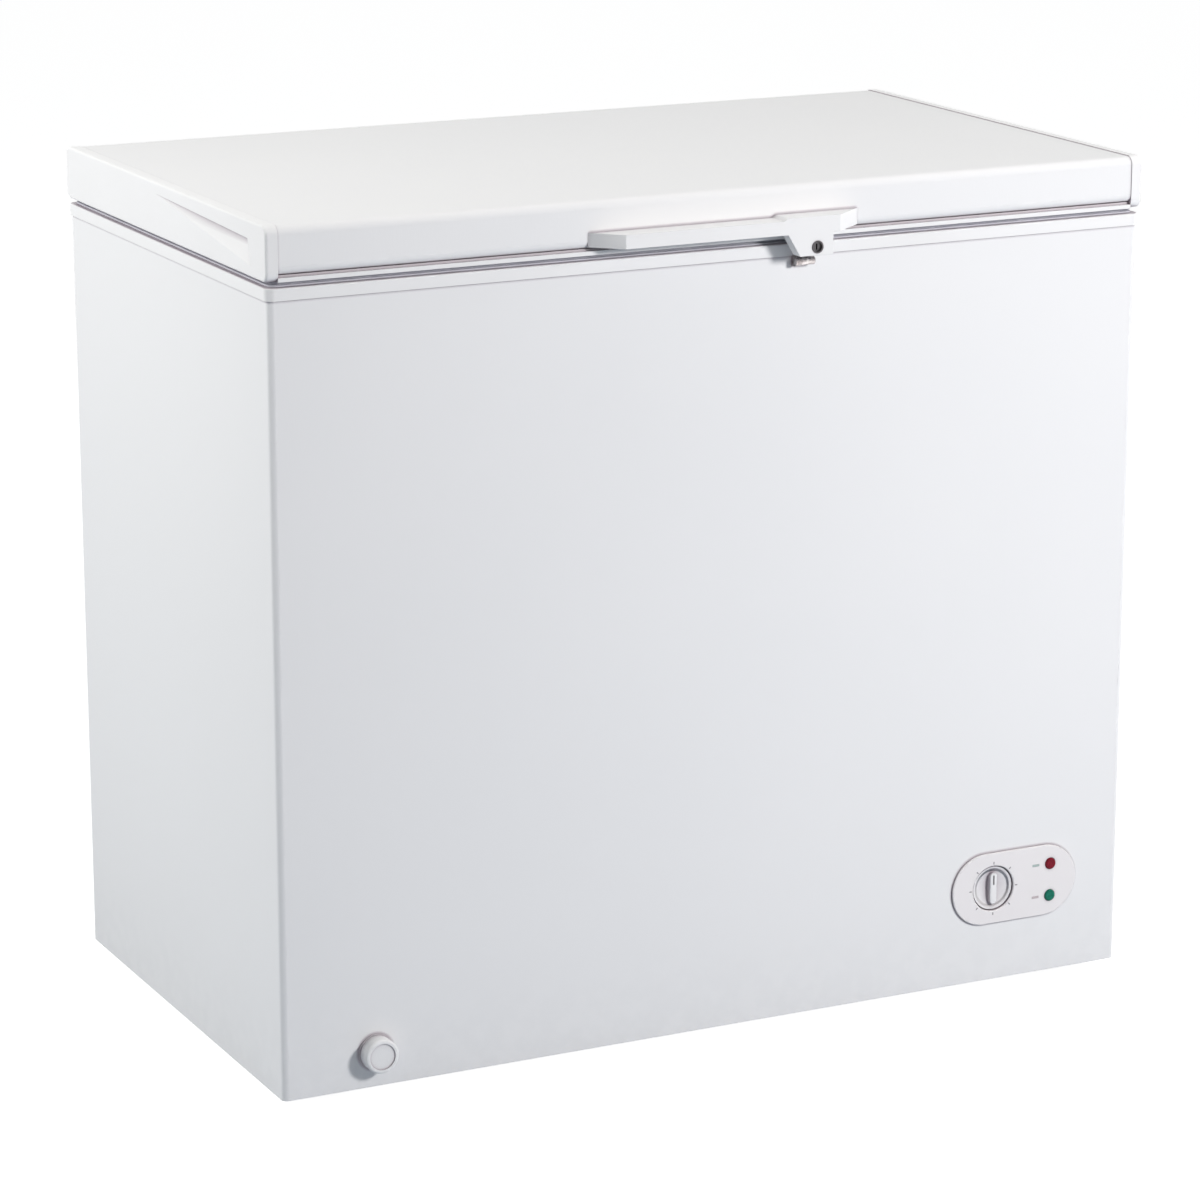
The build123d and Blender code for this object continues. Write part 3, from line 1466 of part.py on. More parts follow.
def leaf_plate(x, length, leaf_y, low, high):
    """Flat part of a hinge leaf."""
    with BuildSketch(Plane.YZ.offset(x)) as plate:
        with Locations((leaf_y, low)):
            Rectangle(leaf_thickness, high - low, align=(Align.CENTER, Align.MIN))
    extrude(plate.sketch, amount=length)


with BuildPart() as hinge_cabinet_leaves:
    for start in hinge_starts:
        leaf_plate(start, hinge_length, cabinet_leaf_y, leaf_turn_z - cabinet_leaf_height, leaf_turn_z)
        leaf_plate(
            start + spring_start - spring_wire,
            spring_length + 2 * spring_wire,
            cabinet_leaf_y,
            leaf_turn_z,
            spring_low_z - spring_wire - pin_seat,
        )
        for x in (start, start + hinge_length - knuckle_length):
            knuckle(x, knuckle_length, cabinet_leaf_y, leaf_turn_z, pin_radius + pin_seat)
save(hinge_cabinet_leaves, "hinge_cabinet_leaves")

with BuildPart() as hinge_lid_leaves:
    for start in hinge_starts:
        leaf_plate(start, hinge_length, lid_leaf_y, lid_leaf_z, lid_leaf_z + lid_leaf_height)
        knuckle(
            start + lid_knuckle_start,
            lid_knuckle_length,
            lid_leaf_y,
            lid_leaf_z,
            pin_radius + turn_fit,
        )
save(hinge_lid_leaves, "hinge_lid_leaves")

with BuildPart() as hinge_pins:
    for start in hinge_starts:
        with BuildSketch(Plane.YZ.offset(start)):
            with Locations((pivot_y, pivot_z)):
                Circle(pin_radius)
        extrude(amount=hinge_length)
        with BuildSketch(Plane.YZ.offset(start), Plane.YZ.offset(start + hinge_length + pin_head)):
            with Locations((pivot_y, pivot_z)):
                Circle(pin_head_radius)
        extrude(amount=-pin_head)
save(hinge_pins, "hinge_pins")

with BuildPart() as hinge_cabinet_rivets:
    with BuildSketch(front_plane(back_face + leaf_thickness)):
        rivet_z = leaf_turn_z - cabinet_leaf_height / 2
        with Locations(*[(x, rivet_z) for x in hinge_middles]):
            with GridLocations(rivet_pitch, rivet_rows, 2, 2):
                Circle(rivet_head_radius)
    extrude(amount=-rivet_head)
    chamfer(hinge_cabinet_rivets.edges().group_by(Axis.Y)[-1], rivet_head / 2)
save(hinge_cabinet_rivets, "hinge_cabinet_rivets")

with BuildPart() as hinge_lid_rivets:
    with BuildSketch(front_plane(steel_rear + leaf_thickness)):
        with Locations(*[(x, lid_leaf_z + lid_leaf_height - rivet_margin) for x in hinge_middles]):
            with GridLocations(rivet_pitch, 0, 2, 1):
                Circle(rivet_head_radius)
    extrude(amount=-rivet_head)
    chamfer(hinge_lid_rivets.edges().group_by(Axis.Y)[-1], rivet_head / 2)
save(hinge_lid_rivets, "hinge_lid_rivets")

# Torsion springs: lower leg on the cabinet leaf, upper leg under the rear edge of the lid
lower_tip = shell_back + fit_gap
upper_tip = lid_rear - gasket_inset + fit_gap + spring_wire


def quarter_points(start):
    """Points and directions of the winding at every quarter turn, from its bottom round to its top."""
    quarters = 4 * spring_turns + 2
    stations = []
    for quarter in range(quarters + 1):
        angle = -tau / 4 + quarter * tau / 4
        advance = spring_length * quarter / quarters
        point = Vector(
            start + advance,
            pivot_y + spring_radius * cos(angle),
            pivot_z + spring_radius * sin(angle),
        )
        lead = 0 if quarter in (0, quarters) else spring_pitch / tau
        direction = Vector(lead, -spring_radius * sin(angle), spring_radius * cos(angle)).normalized()
        stations.append((point, direction))
    return stations


def biarc(start, start_direction, end, end_direction):
    """Two arcs, tangent to each other and to the directions at both ends."""
    chord = end - start
    both = start_direction + end_direction
    turn = 2 * (1 - start_direction.dot(end_direction))
    along = chord.dot(both)
    reach = (sqrt(along * along + turn * chord.dot(chord)) - along) / turn
    middle = (start + end + (start_direction - end_direction) * reach) / 2
    first = TangentArc(start, middle, tangent=start_direction)
    TangentArc(middle, end, tangent=first % 1)


spring_pieces = []
for start in hinge_starts:
    stations = quarter_points(start + spring_start)
    first_point = stations[0][0]
    last_point = stations[-1][0]
    with BuildPart() as spring:
        with BuildLine() as winding:
            Line((first_point.X, lower_tip, first_point.Z), first_point)
            for (point, direction), (next_point, next_direction) in zip(stations, stations[1:]):
                biarc(point, direction, next_point, next_direction)
            Line(last_point, (last_point.X, upper_tip, last_point.Z))
        with BuildSketch(Plane(origin=(first_point.X, lower_tip, first_point.Z), z_dir=(0, 1, 0))):
            Circle(spring_wire)
        sweep(path=winding.wire())
    spring_pieces.append(spring.part)

with BuildPart() as hinge_springs:
    add(spring_pieces)
save(hinge_springs, "hinge_springs")

# Least gap of a spring to itself, on points along two neighbouring turns
station_points = [point for point, direction in quarter_points(0)]
least_gap = min(
    (a - b).length - 2 * spring_wire
    for i, a in enumerate(station_points)
    for b in station_points[i + 3:]
)
print(f"least gap between spring turns {least_gap:.2f} mm")

# Basket: wire basket that hangs by two loops on the ledge of the top frame
basket_depth = cavity_depth - 2 * lip_proud - 2 * basket_clear
basket_x = cavity_width / 2 - lip_proud - basket_clear - basket_width / 2
rim_z = ledge_top - basket_hang
basket_bottom = rim_z - basket_height
wire_half_x = basket_width / 2 - rim_wire
wire_half_y = basket_depth / 2 - rim_wire


def wire_ring(z, half_x, half_y, radius):
    """Closed round-cornered ring of wire, level at height z."""
    with BuildPart() as ring:
        with BuildLine() as path:
            FilletPolyline(
                (basket_x - half_x, body_y - half_y, z),
                (basket_x + half_x, body_y - half_y, z),
                (basket_x + half_x, body_y + half_y, z),
                (basket_x - half_x, body_y + half_y, z),
                radius=basket_corner,
                close=True,
            )
        with BuildSketch(Plane(origin=path.wire() @ 0, z_dir=path.wire() % 0)):
            Circle(radius)
        sweep(path=path.wire())
    return ring.part


rim_ring = wire_ring(rim_z, wire_half_x, wire_half_y, rim_wire)
with BuildPart() as basket_rim:
    add(rim_ring)
save(basket_rim, "basket_rim")

ring_half_x = wire_half_x - 2 * wire
ring_half_y = wire_half_y - 2 * wire
middle_ring = wire_ring((rim_z + basket_bottom) / 2, ring_half_x, ring_half_y, wire)
bottom_ring = wire_ring(basket_bottom + wire, ring_half_x, ring_half_y, wire)
with BuildPart() as basket_rings:
    add(middle_ring)
    add(bottom_ring)
save(basket_rings, "basket_rings")

# Upright wires stand outside the rings and meet the rim from below
spread_x = 2 * (wire_half_x - basket_corner)
spread_y = 2 * (wire_half_y - basket_corner)
with BuildPart() as basket_uprights:
    with BuildSketch(Plane.XY.offset(basket_bottom)):
        with Locations((basket_x, body_y)):
            with GridLocations(spread_x / (wires_along - 1), 2 * wire_half_y, wires_along, 2):
                Circle(wire)
            with GridLocations(2 * wire_half_x, spread_y / (wires_across - 1), 2, wires_across):
                Circle(wire)
    extrude(amount=rim_z - rim_wire - basket_bottom)
save(basket_uprights, "basket_uprights")

# Floor wires lie under the bottom ring, the long ones below the short ones
with BuildPart() as basket_floor:
    short_z = basket_bottom - wire
    long_z = basket_bottom - 3 * wire
    short_half = ring_half_x + wire
    long_half = ring_half_y + wire
    with BuildSketch(Plane.YZ.offset(basket_x - short_half)):
        with Locations((body_y, short_z)):
            with GridLocations(spread_y / (wires_across - 1), 0, wires_across, 1):
                Circle(wire)
    extrude(amount=2 * short_half)
    with BuildSketch(front_plane(body_y - long_half)):
        with Locations((basket_x, long_z)):
            with GridLocations(spread_x / (wires_along - 1), 0, wires_along, 1):
                Circle(wire)
    extrude(amount=-2 * long_half)
save(basket_floor, "basket_floor")

# Hanger loops rise from the rim and lie on the ledge at the front and the back
hanger_z = ledge_top + rim_wire + fit_gap
hanger_far = wire_half_y + hanger_reach + hanger_bend
hangers = [
    tube(
        [
            (basket_x - hanger_width / 2, body_y + side * wire_half_y, rim_z + rim_wire),
            (basket_x - hanger_width / 2, body_y + side * wire_half_y, hanger_z),
            (basket_x - hanger_width / 2, body_y + side * hanger_far, hanger_z),
            (basket_x + hanger_width / 2, body_y + side * hanger_far, hanger_z),
            (basket_x + hanger_width / 2, body_y + side * wire_half_y, hanger_z),
            (basket_x + hanger_width / 2, body_y + side * wire_half_y, rim_z + rim_wire),
        ],
        hanger_bend,
        rim_wire,
    ).part
    for side in (-1, 1)
]
with BuildPart() as basket_hangers:
    add(hangers)
save(basket_hangers, "basket_hangers")
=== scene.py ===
import json
from math import cos, pi, radians, sin

import bpy
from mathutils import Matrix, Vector


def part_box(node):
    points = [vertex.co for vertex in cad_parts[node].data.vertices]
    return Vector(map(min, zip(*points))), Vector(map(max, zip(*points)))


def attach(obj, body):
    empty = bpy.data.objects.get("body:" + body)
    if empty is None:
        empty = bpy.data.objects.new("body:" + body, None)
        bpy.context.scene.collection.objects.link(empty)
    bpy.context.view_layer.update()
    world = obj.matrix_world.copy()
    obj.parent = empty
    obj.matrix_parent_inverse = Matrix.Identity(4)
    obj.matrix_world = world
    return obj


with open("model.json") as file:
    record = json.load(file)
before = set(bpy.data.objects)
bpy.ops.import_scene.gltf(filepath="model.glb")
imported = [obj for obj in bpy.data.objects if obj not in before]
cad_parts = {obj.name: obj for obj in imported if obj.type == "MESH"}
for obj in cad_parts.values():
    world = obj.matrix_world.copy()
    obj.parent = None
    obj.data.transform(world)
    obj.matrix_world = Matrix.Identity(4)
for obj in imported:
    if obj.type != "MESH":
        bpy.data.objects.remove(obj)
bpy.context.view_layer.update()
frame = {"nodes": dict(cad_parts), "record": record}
scene = bpy.context.scene
mm = 0.001
materials = {}


# Materials: grain, slow changes of colour and gloss, and softened edges on every surface; painted shade
# in the corners of enamel and mouldings
class Surface:
    """A named procedural material whose parts are wired one after another."""

    edge_samples = 4
    corner_samples = 8
    noise_low = 0.25
    noise_high = 0.75
    # Tint of the painted shade in corners and slits
    shade_tint = (0.42, 0.35, 0.40)

    def __init__(self, name, roughness, metallic=0.0, edge=0.7 * mm):
        material = bpy.data.materials.new(name)
        material.use_nodes = True
        materials[name] = material
        self.tree = material.node_tree
        self.shader = self.tree.nodes["Principled BSDF"]
        self.shader.inputs["Roughness"].default_value = roughness
        self.shader.inputs["Metallic"].default_value = metallic
        self.place = self.node("ShaderNodeTexCoord").outputs["Object"]
        soft_edge = self.node("ShaderNodeBevel", {"Radius": edge})
        soft_edge.samples = self.edge_samples
        self.set_normal(soft_edge.outputs["Normal"])

    def node(self, kind, values=None):
        """New node of a kind, with the given values on its sockets."""
        made = self.tree.nodes.new(kind)
        for socket, value in (values or {}).items():
            made.inputs[socket].default_value = value
        return made

    def link(self, source, target):
        self.tree.links.new(source, target)

    def paint(self, colour):
        self.link(colour, self.shader.inputs["Base Color"])

    def rough(self, value):
        self.link(value, self.shader.inputs["Roughness"])

    def set_normal(self, normal):
        self.normal = normal
        self.link(normal, self.shader.inputs["Normal"])

    def bump(self, height, strength, distance):
        """Relief on top of the relief made so far."""
        relief = self.node("ShaderNodeBump", {"Strength": strength, "Distance": distance})
        self.link(height, relief.inputs["Height"])
        self.link(self.normal, relief.inputs["Normal"])
        self.set_normal(relief.outputs["Normal"])

    def placed(self, offset=(0.0, 0.0, 0.0), stretch=(1.0, 1.0, 1.0)):
        """The part's own coordinates, stretched and then offset."""
        mapping = self.node("ShaderNodeMapping", {"Location": offset, "Scale": stretch})
        self.link(self.place, mapping.inputs["Vector"])
        return mapping

    def noise(self, scale, detail=3.0, stretch=(1.0, 1.0, 1.0)):
        cloud = self.node("ShaderNodeTexNoise", {"Scale": scale, "Detail": detail})
        self.link(self.placed(stretch=stretch).outputs["Vector"], cloud.inputs["Vector"])
        return cloud.outputs["Fac"]

    def cells(self, scale, feature="F1", shift=None):
        """Pattern of irregular cells, moved sideways by the shift."""
        pattern = self.node("ShaderNodeTexVoronoi", {"Scale": scale})
        pattern.feature = feature
        mapping = self.placed()
        if shift is not None:
            self.link(shift, mapping.inputs["Location"])
        self.link(mapping.outputs["Vector"], pattern.inputs["Vector"])
        return pattern.outputs

    def ramp(self, value, low, high, start=0.3, end=0.7):
        """Colour that goes from low to high while the value goes from start to end."""
        colours = self.node("ShaderNodeValToRGB")
        first, last = colours.color_ramp.elements
        first.position = start
        first.color = (*low, 1.0)
        last.position = end
        last.color = (*high, 1.0)
        self.link(value, colours.inputs["Fac"])
        return colours.outputs["Color"]

    def carry(self, value, start, end, low=0.0, high=1.0, course="LINEAR"):
        """Number that goes from low to high while the value goes from start to end."""
        limits = {"From Min": start, "From Max": end, "To Min": low, "To Max": high}
        scale = self.node("ShaderNodeMapRange", limits)
        scale.interpolation_type = course
        self.link(value, scale.inputs["Value"])
        return scale.outputs["Result"]

    def spread(self, noise, low, high):
        """Number that follows a noise between low and high."""
        return self.carry(noise, self.noise_low, self.noise_high, low, high)

    def blend(self, factor, first, second):
        mix = self.node("ShaderNodeMix")
        mix.data_type = "RGBA"
        self.link(factor, mix.inputs["Factor"])
        self.link(first, mix.inputs["A"])
        self.link(second, mix.inputs["B"])
        return mix.outputs["Result"]

    def product(self, first, second):
        result = self.node("ShaderNodeMath")
        result.operation = "MULTIPLY"
        self.link(first, result.inputs[0])
        self.link(second, result.inputs[1])
        return result.outputs["Value"]

    def height_fade(self, low, high):
        """1 at the height low and below, falling to 0 at the height high."""
        parts = self.node("ShaderNodeSeparateXYZ")
        self.link(self.place, parts.inputs["Vector"])
        return self.carry(parts.outputs["Z"], low, high, 1.0, 0.0)

    def rim_step(self, centre, radius, slope):
        """0 inside a circle that faces the front and 1 outside it, with a soft step two slopes wide."""
        flat = self.placed(offset=(-centre.x, 0.0, -centre.z), stretch=(1.0, 0.0, 1.0))
        distance = self.node("ShaderNodeVectorMath")
        distance.operation = "LENGTH"
        self.link(flat.outputs["Vector"], distance.inputs[0])
        return self.carry(distance.outputs["Value"], radius - slope, radius + slope, course="SMOOTHSTEP")

    def openness(self, reach):
        """1 on open faces, falling fast towards 0 in corners and slits narrower than the reach."""
        corners = self.node("ShaderNodeAmbientOcclusion", {"Distance": reach})
        corners.samples = self.corner_samples
        return self.product(corners.outputs["AO"], corners.outputs["AO"])

    def painted_shade(self, value, low, high):
        """Painted shade: a darker, warmer tone of a colour pair for the corners that the light leaves."""
        shaded_low = [part * share for part, share in zip(low, self.shade_tint)]
        shaded_high = [part * share for part, share in zip(high, self.shade_tint)]
        return self.ramp(value, shaded_low, shaded_high)


def white_enamel(name, white, shade, gloss):
    """Baked white enamel: fine upright grain, slow gloss changes, a little dust near the floor and
    painted shade in corners and seams.
    """
    made = Surface(name, roughness=0.46)
    made.shader.inputs["Specular IOR Level"].default_value = gloss
    slow = made.noise(scale=2.2, detail=4.0)
    base_tone = made.ramp(slow, shade, white)
    speck = made.noise(scale=60.0, detail=6.0)
    dust_share = 0.96
    dusty = made.ramp(speck, [dust_share * part for part in shade], white, start=0.35, end=0.6)
    low_dust = made.product(made.height_fade(20.0 * mm, 110.0 * mm), speck)
    dusted = made.blend(low_dust, base_tone, dusty)
    # Corners and seams within 3 mm get painted shade
    made.paint(made.blend(made.openness(reach=3.0 * mm), made.painted_shade(slow, shade, white), dusted))
    made.rough(made.spread(slow, low=0.40, high=0.54))
    grain = made.noise(scale=420.0, detail=2.0, stretch=(1.0, 1.0, 0.22))
    made.bump(grain, strength=0.10, distance=0.35 * mm)
    waves = made.noise(scale=9.0, detail=2.0)
    made.bump(waves, strength=0.05, distance=2.0 * mm)


def moulded(name, light, dark, roughness, reach=4.0 * mm):
    """Moulded plastic: fine texture, faint flow marks, uneven gloss and painted shade in its corners."""
    made = Surface(name, roughness)
    flow = made.noise(scale=7.0, detail=4.0, stretch=(1.0, 1.0, 2.5))
    base_tone = made.ramp(flow, dark, light)
    # Corners and slits within the reach get painted shade
    made.paint(made.blend(made.openness(reach), made.painted_shade(flow, dark, light), base_tone))
    made.rough(made.spread(flow, low=roughness - 0.06, high=roughness + 0.08))
    texture = made.noise(scale=900.0, detail=2.0)
    made.bump(texture, strength=0.12, distance=0.12 * mm)
    return made


def rolled_metal(name, light, dark, roughness, cloud_scale=24.0):
    """Plated or drawn metal: long fine lines and cloudy gloss."""
    made = Surface(name, roughness, metallic=1.0, edge=0.4 * mm)
    cloud = made.noise(cloud_scale, detail=5.0)
    made.paint(made.ramp(cloud, dark, light))
    made.rough(made.spread(cloud, low=roughness - 0.07, high=roughness + 0.10))
    lines = made.noise(scale=160.0, detail=3.0, stretch=(1.0, 1.0, 14.0))
    made.bump(lines, strength=0.12, distance=0.08 * mm)


def galvanised(name, light, dark):
    """Zinc coated sheet with its crystal pattern, cut differently for each sheet."""
    made = Surface(name, roughness=0.42, metallic=1.0)
    sheet_shift = made.node("ShaderNodeObjectInfo").outputs["Random"]
    crystals = made.cells(scale=95.0, shift=sheet_shift)["Color"]
    made.paint(made.ramp(crystals, dark, light, start=0.1, end=0.9))
    made.rough(made.spread(crystals, low=0.34, high=0.52))
    dents = made.noise(scale=40.0)
    made.bump(dents, strength=0.06, distance=0.5 * mm)


def embossed_aluminium(name, light, dark):
    """Liner sheet with a pressed orange-skin pattern."""
    made = Surface(name, roughness=0.42, metallic=1.0)
    made.paint(made.ramp(made.noise(scale=5.0), dark, light))
    made.rough(made.spread(made.noise(scale=18.0, detail=4.0), low=0.36, high=0.50))
    skin = made.cells(scale=150.0, feature="SMOOTH_F1")["Distance"]
    made.bump(skin, strength=0.5, distance=0.8 * mm)


def rigid_foam(name, light, dark):
    """Poured insulating foam with small cells."""
    made = Surface(name, roughness=0.85)
    made.paint(made.ramp(made.noise(scale=30.0, detail=5.0), dark, light))
    made.bump(made.cells(scale=420.0)["Distance"], strength=0.5, distance=0.6 * mm)


def soft_rubber(name, light, dark):
    """Rubber with a dry, dusty skin."""
    made = Surface(name, roughness=0.68)
    dust = made.noise(scale=55.0, detail=6.0)
    made.paint(made.ramp(dust, dark, light, start=0.35, end=0.75))
    made.rough(made.spread(dust, low=0.58, high=0.80))
    texture = made.noise(scale=700.0, detail=2.0)
    made.bump(texture, strength=0.2, distance=0.15 * mm)


def lamp_lens(name, bright, deep):
    """Clear coloured lens with fine ribs behind a glossy face."""
    made = Surface(name, roughness=0.12, edge=0.3 * mm)
    made.shader.inputs["Specular IOR Level"].default_value = 0.12
    made.shader.inputs["Coat Weight"].default_value = 0.05
    made.shader.inputs["Coat Roughness"].default_value = 0.05
    ribs = made.noise(scale=500.0, detail=2.0)
    made.paint(made.ramp(ribs, deep, bright))
    made.rough(made.spread(ribs, low=0.08, high=0.22))
    made.bump(ribs, strength=0.1, distance=0.1 * mm)


def black_enamel(name, light, dark):
    """Thick black enamel on drawn steel."""
    made = Surface(name, roughness=0.36, edge=1.0 * mm)
    dust = made.noise(scale=22.0, detail=6.0)
    made.paint(made.ramp(dust, dark, light, start=0.4, end=0.8))
    made.rough(made.spread(dust, low=0.28, high=0.56))
    skin = made.noise(scale=130.0)
    made.bump(skin, strength=0.12, distance=0.4 * mm)


# Enamelled sheet of the cabinet and of the lid
paint_white = (0.86, 0.86, 0.855)
paint_shade = (0.835, 0.838, 0.836)
white_enamel("cabinet_paint", paint_white, paint_shade, gloss=0.35)
white_enamel("lid_paint", paint_white, paint_shade, gloss=0.08)

# White and black mouldings
plastic_light = (0.87, 0.87, 0.865)
plastic_dark = (0.835, 0.835, 0.828)
# Each reach sets how far the painted shade spreads from corners and slits
moulded("frame_plastic", plastic_light, plastic_dark, roughness=0.36, reach=12.0 * mm)
moulded("cap_plastic", plastic_light, plastic_dark, roughness=0.40, reach=9.0 * mm)
moulded("panel_plastic", plastic_light, plastic_dark, roughness=0.40)
moulded("handle_plastic", plastic_light, plastic_dark, roughness=0.38, reach=7.0 * mm)
moulded("drain_plastic", plastic_light, plastic_dark, roughness=0.36, reach=10.0 * mm)
moulded("vent_plastic", plastic_light, plastic_dark, roughness=0.46)
moulded("basket_wire", plastic_light, plastic_dark, roughness=0.42)
moulded("black_plastic", light=(0.040, 0.040, 0.040), dark=(0.022, 0.022, 0.022), roughness=0.50)

# Control panel, with a knob whose face is dished inside its rim
moulded("bezel_plastic", light=(0.85, 0.825, 0.82), dark=(0.825, 0.80, 0.797), roughness=0.42)
lamp_lens("red_lens", bright=(0.25, 0.008, 0.024), deep=(0.15, 0.002, 0.010))
lamp_lens("green_lens", bright=(0.006, 0.195, 0.125), deep=(0.001, 0.120, 0.074))
knob_light = (0.86, 0.855, 0.85)
knob_dark = (0.83, 0.825, 0.82)
knob_low, knob_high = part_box("thermostat_knob")
knob_centre = (knob_low + knob_high) / 2
knob_rim = 3.6 * mm
dish_radius = (knob_high.x - knob_low.x) / 2 - knob_rim
dish_slope = 1.7 * mm
dish_depth = 3.2 * mm
# The long reach paints shade into the knob's well and dish
knob_surface = moulded("knob_plastic", knob_light, knob_dark, roughness=0.30, reach=16.0 * mm)
dish = knob_surface.rim_step(knob_centre, dish_radius, dish_slope)
knob_surface.bump(dish, strength=1.0, distance=dish_depth)

# Bare and plated metals
galvanised("zinc_sheet", light=(0.50, 0.51, 0.52), dark=(0.33, 0.34, 0.35))
embossed_aluminium("liner_aluminium", light=(0.80, 0.81, 0.82), dark=(0.72, 0.73, 0.74))
# The strike's tone swings in small blotches from near black to pale pink: painted reflections and shade
# on the chrome
chrome_light = (0.78, 0.74, 0.73)
chrome_dark = (0.20, 0.16, 0.16)
rolled_metal("strike_chrome", chrome_light, chrome_dark, roughness=0.22, cloud_scale=170.0)
rolled_metal("lock_metal", light=(0.19, 0.18, 0.19), dark=(0.10, 0.095, 0.10), roughness=0.34)
rolled_metal("hinge_steel", light=(0.63, 0.64, 0.65), dark=(0.48, 0.49, 0.51), roughness=0.34)
rolled_metal("spring_steel", light=(0.42, 0.42, 0.43), dark=(0.28, 0.28, 0.29), roughness=0.30)
rolled_metal("copper", light=(0.72, 0.40, 0.26), dark=(0.50, 0.26, 0.16), roughness=0.32)
rolled_metal("coil_tube", light=(0.74, 0.75, 0.76), dark=(0.60, 0.61, 0.62), roughness=0.36)
rolled_metal("condenser_steel", light=(0.40, 0.35, 0.30), dark=(0.26, 0.23, 0.20), roughness=0.40)

# Rubber, foam and the black compressor
soft_rubber("gasket_rubber", light=(0.64, 0.64, 0.69), dark=(0.56, 0.56, 0.61))
soft_rubber("foot_rubber", light=(0.05, 0.05, 0.05), dark=(0.018, 0.018, 0.018))
rigid_foam("foam", light=(0.80, 0.71, 0.48), dark=(0.66, 0.55, 0.32))
black_enamel("compressor_paint", light=(0.045, 0.044, 0.042), dark=(0.012, 0.012, 0.013))

# Printing inks
moulded("dial_ink", light=(0.36, 0.35, 0.36), dark=(0.28, 0.27, 0.28), roughness=0.6)
moulded("pointer_ink", light=(0.17, 0.16, 0.17), dark=(0.12, 0.11, 0.12), roughness=0.6)
moulded("cool_ink", light=(0.44, 0.53, 0.50), dark=(0.38, 0.47, 0.44), roughness=0.6)
moulded("warm_ink", light=(0.58, 0.50, 0.51), dark=(0.51, 0.45, 0.46), roughness=0.6)

for entry in frame["record"]["subparts"]:
    mesh = frame["nodes"][entry["node"]].data
    mesh.materials.clear()
    mesh.materials.append(materials[entry["material_slot"]])


# Printing on the control panel
def rectangle(left, right, bottom, top):
    """Corners of a rectangle, from the lower left one round to the upper left one."""
    return [(left, bottom), (right, bottom), (right, top), (left, top)]


def flat_piece(name, corners, depth, ink, body):
    """Thin upright plate facing the front: corners are (x, z) pairs, depth is (front y, back y)."""
    count = len(corners)
    points = [(x, y, z) for y in depth for x, z in corners]
    faces = [tuple(range(count)), tuple(reversed(range(count, 2 * count)))]
    for index in range(count):
        after = (index + 1) % count
        faces.append((index, index + count, after + count, after))
    mesh = bpy.data.meshes.new(name)
    mesh.from_pydata(points, [], faces)
    mesh.materials.append(materials[ink])
    piece = bpy.data.objects.new(name, mesh)
    scene.collection.objects.link(piece)
    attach(piece, body)


# Ticks round the knob
print_proud = 0.08 * mm
print_sunk = 0.05 * mm
bezel_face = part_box("control_bezel")[0].y
print_depth = (bezel_face - print_proud, bezel_face + print_sunk)
tick_inner = 25.6 * mm
tick_outer = 28.2 * mm
tick_half = 0.5 * mm
tick_count = 8
dial_centre = Vector((knob_centre.x, knob_centre.z))
for index in range(tick_count):
    angle = 2 * pi * index / tick_count
    along = Vector((sin(angle), cos(angle)))
    across = Vector((along.y, -along.x))
    outline = rectangle(-tick_half, tick_half, tick_inner, tick_outer)
    corners = [dial_centre + across * side + along * out for side, out in outline]
    flat_piece(f"dial_tick_{index}", corners, print_depth, "dial_ink", "cabinet")

# Plain bars beside the lamps
mark_length = 8.0 * mm
mark_half = 1.2 * mm
mark_gap = 5.0 * mm
for lamp, ink in (("red_lamp", "cool_ink"), ("green_lamp", "warm_ink")):
    lamp_low, lamp_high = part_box(lamp)
    mark_right = lamp_low.x - mark_gap
    mark_height = (lamp_low.z + lamp_high.z) / 2
    corners = rectangle(
        mark_right - mark_length, mark_right, mark_height - mark_half, mark_height + mark_half
    )
    flat_piece(f"{lamp}_mark", corners, print_depth, ink, "cabinet")

# Dark line in the pointer notch of the knob
pointer_half = 0.8 * mm
pointer_reach = 13.9 * mm
pointer_length = 9.8 * mm
pointer_front = 0.35 * mm
pointer_back = 0.58 * mm
pointer_top = knob_centre.z + pointer_reach
pointer_depth = (knob_low.y + pointer_front, knob_low.y + pointer_back)
corners = rectangle(
    knob_centre.x - pointer_half, knob_centre.x + pointer_half, pointer_top - pointer_length, pointer_top
)
flat_piece("knob_pointer", corners, pointer_depth, "pointer_ink", "knob")


# Studio: what the camera or a mirror looks at differs from the light that is thrown on the object
def looked_at(tree):
    """1 for rays from the camera and for rays mirrored or sent through by a surface."""
    path = tree.nodes.new("ShaderNodeLightPath")
    total = path.outputs["Is Camera Ray"]
    for kind in ("Is Glossy Ray", "Is Transmission Ray"):
        either = tree.nodes.new("ShaderNodeMath")
        either.operation = "MAXIMUM"
        tree.links.new(total, either.inputs[0])
        tree.links.new(path.outputs[kind], either.inputs[1])
        total = either.outputs["Value"]
    return total


def show(tree, output, light, view):
    """Wire one shader for the light thrown on the object and another one for what is looked at."""
    choice = tree.nodes.new("ShaderNodeMixShader")
    tree.links.new(looked_at(tree), choice.inputs["Fac"])
    tree.links.new(light, choice.inputs[1])
    tree.links.new(view, choice.inputs[2])
    tree.links.new(choice.outputs["Shader"], tree.nodes[output].inputs["Surface"])


# Floor: white with a soft shadow where it is looked at, greyer in the light it throws back
floor_half = 40.0
floor_bounce = (0.325, 0.375, 0.445, 1.0)
floor_roughness = 0.9
floor_grey = (0.50, 0.50, 0.50, 1.0)
floor_glow = 0.88
plain_white = (1.0, 1.0, 1.0, 1.0)
floor_mesh = bpy.data.meshes.new("floor")
floor_outline = rectangle(-floor_half, floor_half, -floor_half, floor_half)
floor_mesh.from_pydata([(x, y, 0.0) for x, y in floor_outline], [], [(0, 1, 2, 3)])
floor = bpy.data.objects.new("floor", floor_mesh)
scene.collection.objects.link(floor)

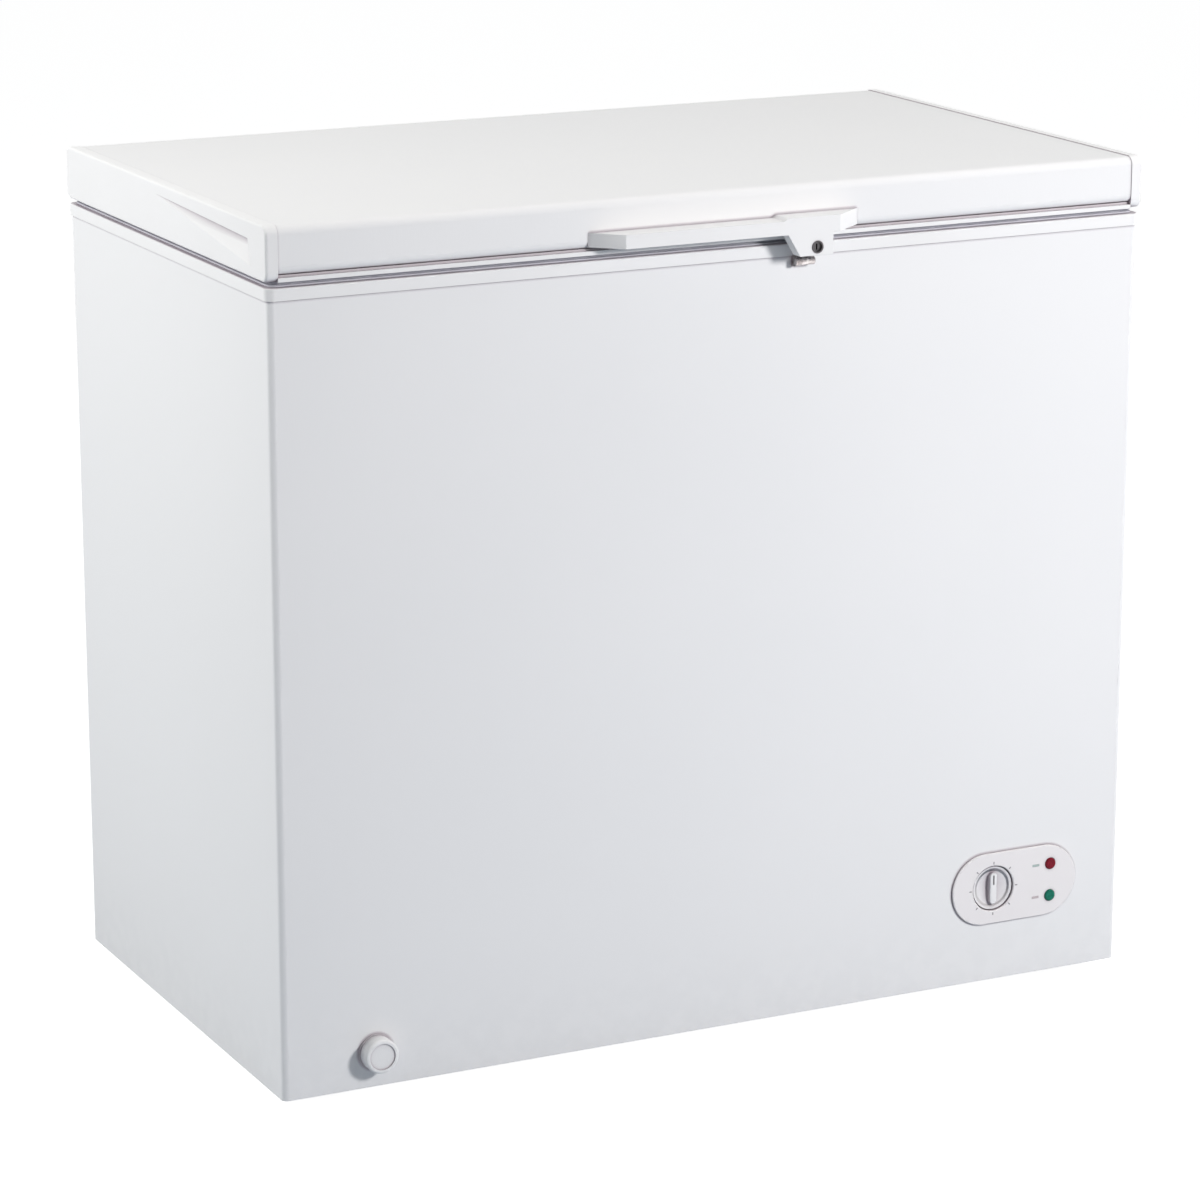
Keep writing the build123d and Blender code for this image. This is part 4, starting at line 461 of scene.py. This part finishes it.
floor_material = bpy.data.materials.new("floor")
floor_material.use_nodes = True
floor_mesh.materials.append(floor_material)
floor_tree = floor_material.node_tree
bounce = floor_tree.nodes["Principled BSDF"]
bounce.inputs["Base Color"].default_value = floor_bounce
bounce.inputs["Roughness"].default_value = floor_roughness
bounce.inputs["Specular IOR Level"].default_value = 0.0
shadowed = floor_tree.nodes.new("ShaderNodeBsdfDiffuse")
shadowed.inputs["Color"].default_value = floor_grey
glow = floor_tree.nodes.new("ShaderNodeEmission")
glow.inputs["Color"].default_value = plain_white
glow.inputs["Strength"].default_value = floor_glow
seen = floor_tree.nodes.new("ShaderNodeAddShader")
floor_tree.links.new(shadowed.outputs["BSDF"], seen.inputs[0])
floor_tree.links.new(glow.outputs["Emission"], seen.inputs[1])
show(floor_tree, "Material Output", light=bounce.outputs["BSDF"], view=seen.outputs["Shader"])

# World: plain white behind everything, a softer grey as light
sky_colour = (0.975, 0.99, 1.0, 1.0)
sky_strength = 0.22
backdrop_strength = 1.0
world = bpy.data.worlds.new("studio")
scene.world = world
world.use_nodes = True
world_tree = world.node_tree
sky_light = world_tree.nodes["Background"]
sky_light.inputs["Color"].default_value = sky_colour
sky_light.inputs["Strength"].default_value = sky_strength
backdrop = world_tree.nodes.new("ShaderNodeBackground")
backdrop.inputs["Color"].default_value = plain_white
backdrop.inputs["Strength"].default_value = backdrop_strength
show(
    world_tree, "World Output", light=sky_light.outputs["Background"], view=backdrop.outputs["Background"]
)


# Lamps: a small key from the front right, wide ones for the left, the right, the lid and the back
def soft_panel(name, place, target, size, power, colour=(1.0, 1.0, 1.0)):
    """Area lamp aimed at a target, its size as (width, height), which leaves no glare on the paint."""
    lamp = bpy.data.lights.new(name, "AREA")
    lamp.shape = "RECTANGLE"
    lamp.size, lamp.size_y = size
    lamp.energy = power
    lamp.color = colour
    holder = bpy.data.objects.new(name, lamp)
    holder.location = place
    holder.rotation_euler = (Vector(target) - Vector(place)).to_track_quat("-Z", "Y").to_euler()
    holder.visible_glossy = False
    scene.collection.objects.link(holder)


soft_panel(
    "key_right",
    place=(1.3, -2.6, 1.55),
    target=(0.1, -0.25, 0.55),
    size=(0.5, 0.5),
    power=66.0,
    colour=(0.997, 0.975, 0.98),
)
soft_panel(
    "fill_left",
    place=(-2.1, 0.35, 1.6),
    target=(-0.46, 0.0, 0.6),
    size=(1.0, 1.0),
    power=32.5,
    colour=(1.0, 0.99, 0.98),
)
soft_panel("fill_right", place=(2.1, 0.3, 1.3), target=(0.46, 0.0, 0.5), size=(1.0, 1.0), power=8.5)
soft_panel("overhead", place=(0.0, -0.15, 2.6), target=(0.0, -0.14, 0.85), size=(1.6, 0.8), power=8.6)
soft_panel("fill_back", place=(1.6, 2.7, 1.0), target=(0.2, 0.25, 0.45), size=(1.4, 1.4), power=40.0)

# Camera, from the front left and above
sensor_width = 36.0
lens = 130.0
camera_place = (-1.890, -3.826, 1.511)
level_view = 90.0
downward_tilt = 14.72
turn_to_right = 26.26
camera_data = bpy.data.cameras.new("camera")
camera_data.sensor_width = sensor_width
camera_data.lens = lens
camera = bpy.data.objects.new("camera", camera_data)
camera.location = camera_place
camera.rotation_euler = (radians(level_view - downward_tilt), 0.0, radians(-turn_to_right))
scene.collection.objects.link(camera)
scene.camera = camera
scene.view_settings.view_transform = "Standard"
